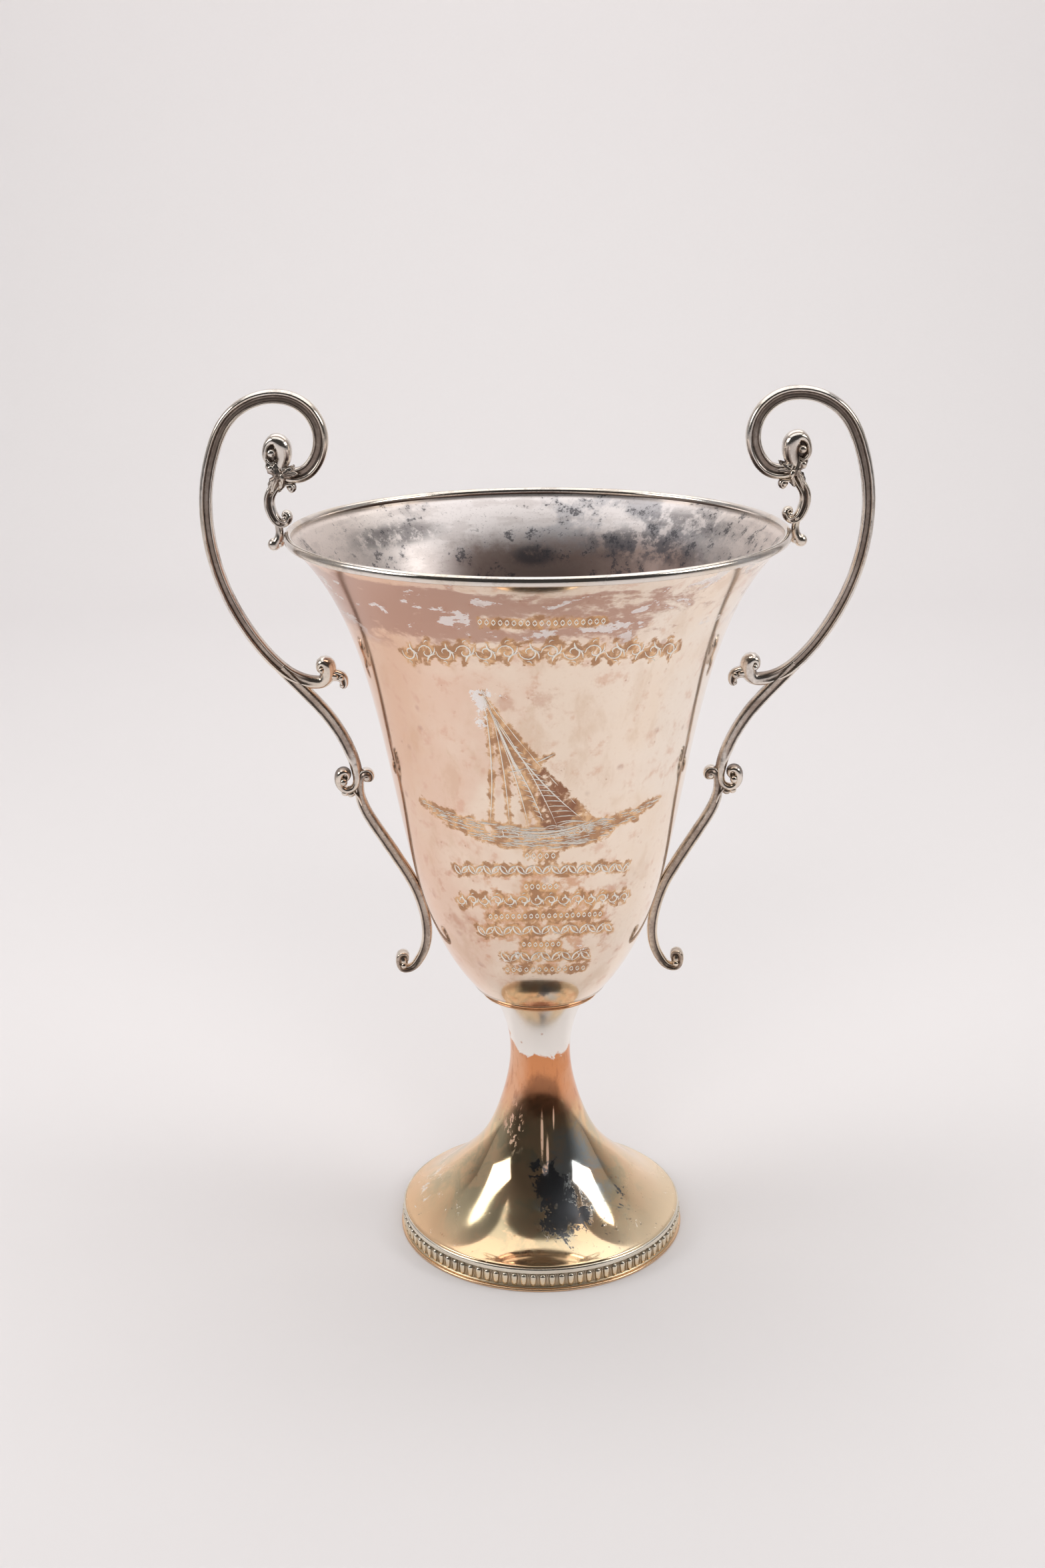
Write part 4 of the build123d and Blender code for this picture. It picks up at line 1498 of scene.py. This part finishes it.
    def design(self) -> np.ndarray:
        """Draws the whole design.

        Returns:
            The (arc length, height) points its stain gathers at.
        """
        for row in self.rows:
            self.ornament(row)
        self.boat()
        self.sea()
        spots = []
        for points, _ in self.strokes:
            for a, b in zip(points, points[1:]):
                count = max(1, int(math.dist(a, b) / self.stain_step))
                for k in range(count + 1):
                    t = k / count
                    spots.append((a[0] + (b[0] - a[0]) * t, a[1] + (b[1] - a[1]) * t))
        return np.array(spots)

    def build(self, finish: bpy.types.Material) -> bpy.types.Object:
        """Cuts every stroke as two narrow facets that follow the bowl.

        Args:
            finish: its material.

        Returns:
            The piece.
        """
        bm = bmesh.new()
        dark = bm.verts.layers.float.new("recess")
        for points, width in self.strokes:
            pts = np.array(points, float)
            if len(pts) == 2:
                pts = np.array([pts[0], pts[0] * 0.67 + pts[1] * 0.33, pts[0] * 0.33 + pts[1] * 0.67, pts[1]])
            last = len(pts) - 1
            ways = directions(pts)
            made = bmesh.ops.create_grid(bm, x_segments=last, y_segments=2, size=0.5)["verts"]
            for v in made:
                k, t = round((v.co.x + 0.5) * last), round(v.co.y * 2)
                wide = width * 0.5 * (0.16 + 0.84 * math.sin(math.pi * k / last) ** 0.6)
                lift = 0.012 + (wide * 0.30 if t == 0 else 0.0)
                v.co = self.bowl.on_skin(pts[k][0] - ways[k][1] * wide * t, pts[k][1] + ways[k][0] * wide * t, lift)
                # Painted shadow: one side facet gets recess 1 and shows brown, the other 0.2, the ridge 0.
                v[dark] = (0.0, 1.0, 0.2)[t]
        bm.normal_update()
        for f in bm.faces:
            centre = f.calc_center_median()
            if f.normal.dot(Vector((centre.x, centre.y, 0))) < 0:
                f.normal_flip()
        piece = object_from(bm, "engraving", [finish], rounded=False)
        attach(piece, "root")
        return piece


# ---------------------------------------------------------------- studio


@dataclass
class Lamp:
    """One rectangular softbox; a fill lights the paper but doesn't show in the polished metal."""

    name: str
    at: tuple
    aim: tuple
    size: tuple
    watts: float
    fill: bool = False
    tint: Colour = (1.0, 0.99, 0.97)

    def build(self) -> None:
        """Adds the light."""
        data = bpy.data.lights.new(self.name, "AREA")
        data.shape = "RECTANGLE"
        data.size, data.size_y = self.size
        data.energy = self.watts
        data.color = self.tint
        lamp = placed(self.name, data)
        lamp.location = self.at
        lamp.rotation_mode = "QUATERNION"
        lamp.rotation_quaternion = (Vector(self.aim) - Vector(self.at)).to_track_quat("-Z", "Y")
        lamp.visible_glossy = not self.fill


@dataclass
class Studio:
    """Paper sweep, softboxes, a room that is dark towards the camera, and the camera."""

    room_front: Colour = (0.045, 0.043, 0.042)
    room_back: Colour = (0.33, 0.33, 0.34)
    camera_at: tuple = (-0.0065, -0.7405, 0.4305)
    pitch: float = 17.67
    roll: float = -0.46
    lens: float = 44.74
    sensor: float = 36.0
    paper_reach: float = 4.2
    paper_height: float = 2.4
    lamps: tuple = (
        Lamp("softbox_left", (-0.85, -0.18, 0.73), (0, 0, 0.03), (0.52, 0.36), 2.3),
        Lamp("softbox_right", (0.85, -0.18, 0.77), (0, 0, 0.03), (0.50, 0.32), 2.1),
        Lamp("overhead", (0.0, 0.14, 0.86), (0, 0.14, 0), (1.0, 0.86), 3.0),
        Lamp("fill_top", (0.0, 0.2, 2.8), (0, 0.2, 0), (3.4, 3.4), 6, True),
        Lamp("fill_front", (0.0, -2.4, 1.7), (0, 1.2, 0.4), (3.0, 1.6), 52, True),
        Lamp("fill_wall", (0.0, 0.3, 2.0), (0, 1.8, 0.9), (2.6, 1.0), 20, True),
    )

    def sweep(self, finish: bpy.types.Material) -> None:
        """Lays the paper: a floor that curves up behind the cup.

        Args:
            finish: its material.
        """
        bm = bmesh.new()
        front, bend, back, round_off = -self.paper_reach, 1.2, 1.8, 0.6
        points = [(front, 0.0), (bend, 0.0)]
        for a in np.linspace(0.1, math.pi / 2, 14):
            points.append((bend + round_off * math.sin(a), round_off - round_off * math.cos(a)))
        points.append((back, self.paper_height))
        verts = [bm.verts.new((-self.paper_reach, y, z)) for y, z in points]
        edges = [bm.edges.new(pair) for pair in zip(verts, verts[1:])]
        made = bmesh.ops.extrude_edge_only(bm, edges=edges)["geom"]
        moved = [v for v in made if isinstance(v, bmesh.types.BMVert)]
        bmesh.ops.translate(bm, verts=moved, vec=(2 * self.paper_reach, 0, 0))
        paper = object_from(bm, "paper_sweep", [finish])

    def build(self, finish: bpy.types.Material) -> None:
        """Adds everything round the cup.

        Args:
            finish: the paper's material.
        """
        self.sweep(finish)
        world = bpy.data.worlds.new("room")
        world.use_nodes = True
        bench = NodeBench(world.node_tree)
        way = bench.node("ShaderNodeTexCoord", {}).outputs["Generated"]
        depth = Value(bench, bench.node("ShaderNodeSeparateXYZ", {}, Vector=way).outputs[1])
        room = bench.colour(self.room_front, (depth.step(-0.50, 0.20), self.room_back))
        bench.plug(world.node_tree.nodes["Background"].inputs["Color"], room)
        bpy.context.scene.world = world
        for lamp in self.lamps:
            lamp.build()
        data = bpy.data.cameras.new("camera")
        data.lens = self.lens
        data.sensor_width = self.sensor
        data.sensor_fit = "AUTO"
        camera = placed("camera", data)
        tilt = Matrix.Rotation(math.radians(90 - self.pitch), 4, "X") @ Matrix.Rotation(math.radians(self.roll), 4, "Z")
        camera.matrix_world = Matrix.Translation(self.camera_at) @ tilt
        bpy.context.scene.camera = camera
        bpy.context.scene.view_settings.view_transform = "Standard"


# ---------------------------------------------------------------- the cup


RIM_OUTLINE = (
    (94.1, 294.4), (93.75, 295.3), (93.6, 296.2), (93.75, 296.9), (94.1, 297.45), (94.6, 297.8), (95.15, 297.93),
    (95.75, 297.8), (96.3, 297.4), (96.65, 296.8), (96.78, 296.1), (96.7, 295.4), (96.4, 294.85), (96.0, 294.5),
    (95.6, 294.35), (95.2, 294.5), (94.9, 294.3), (94.5, 294.25),
)
COLLAR_OUTLINE = (
    (0.0, 106.35), (21.0, 106.35), (23.3, 106.35), (23.9, 106.5), (24.15, 106.85), (24.0, 107.15), (23.6, 107.3),
    (23.75, 107.5), (24.1, 107.8), (24.15, 108.2), (23.9, 108.5), (23.4, 108.65), (21.0, 108.68), (0.0, 108.68),
)
WIRE_OUTLINE = (
    (55.5, 0.05), (55.4, 0.4), (55.4, 0.9), (55.6, 1.25), (57.0, 1.29), (58.6, 1.28), (59.15, 1.2), (59.5, 0.95),
    (59.6, 0.65), (59.5, 0.3), (59.2, 0.06), (58.5, 0.0), (57.0, 0.0), (56.0, 0.0),
)


def main() -> None:
    """Builds the cup, its finishes and the studio, and logs each piece."""
    logging.basicConfig(level=logging.INFO, format="%(message)s")
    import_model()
    silver = SilverPlate("handle_plate").make()
    rim_silver = SilverPlate("rim_plate", tarnish_and_shade=0.7, polish=0.08).make()
    band = BandPlate().make()
    stem = StemPlate().make()
    bowl = Bowl()
    engraving = Engraving(bowl)
    strokes = engraving.design()
    pieces = [bowl.build(BowlPlate().make(), BowlInside().make(), strokes), engraving.build(CutMetal().make())]
    pieces.append(Turning("rim", ("rim_moulding",), "rim_plate", RIM_OUTLINE, 288).build(rim_silver))
    pieces.append(Turning("collar", ("bowl_collar",), "stem_plate", COLLAR_OUTLINE, 160).build(stem))
    pieces.append(Turning("stem_foot", ("stem_foot_shell",), "stem_plate", StemFoot().outline(), 288, 0.06).build(stem))
    border = FlutedBand()
    pieces.append(border.strip().build(band))
    pieces.append(border.flutes(band))
    pieces.append(Turning("base_wire", ("foot_base_wire",), "band_plate", WIRE_OUTLINE, 288).build(band))
    for piece in pieces:
        LOG.info("%s: %d faces", piece.name, len(piece.data.polygons))
    for side, turned in (("right", False), ("left", True)):
        Handle(side, turned, silver).build()
    Studio().build(Paper().make())


if __name__ == "__main__":
    main()
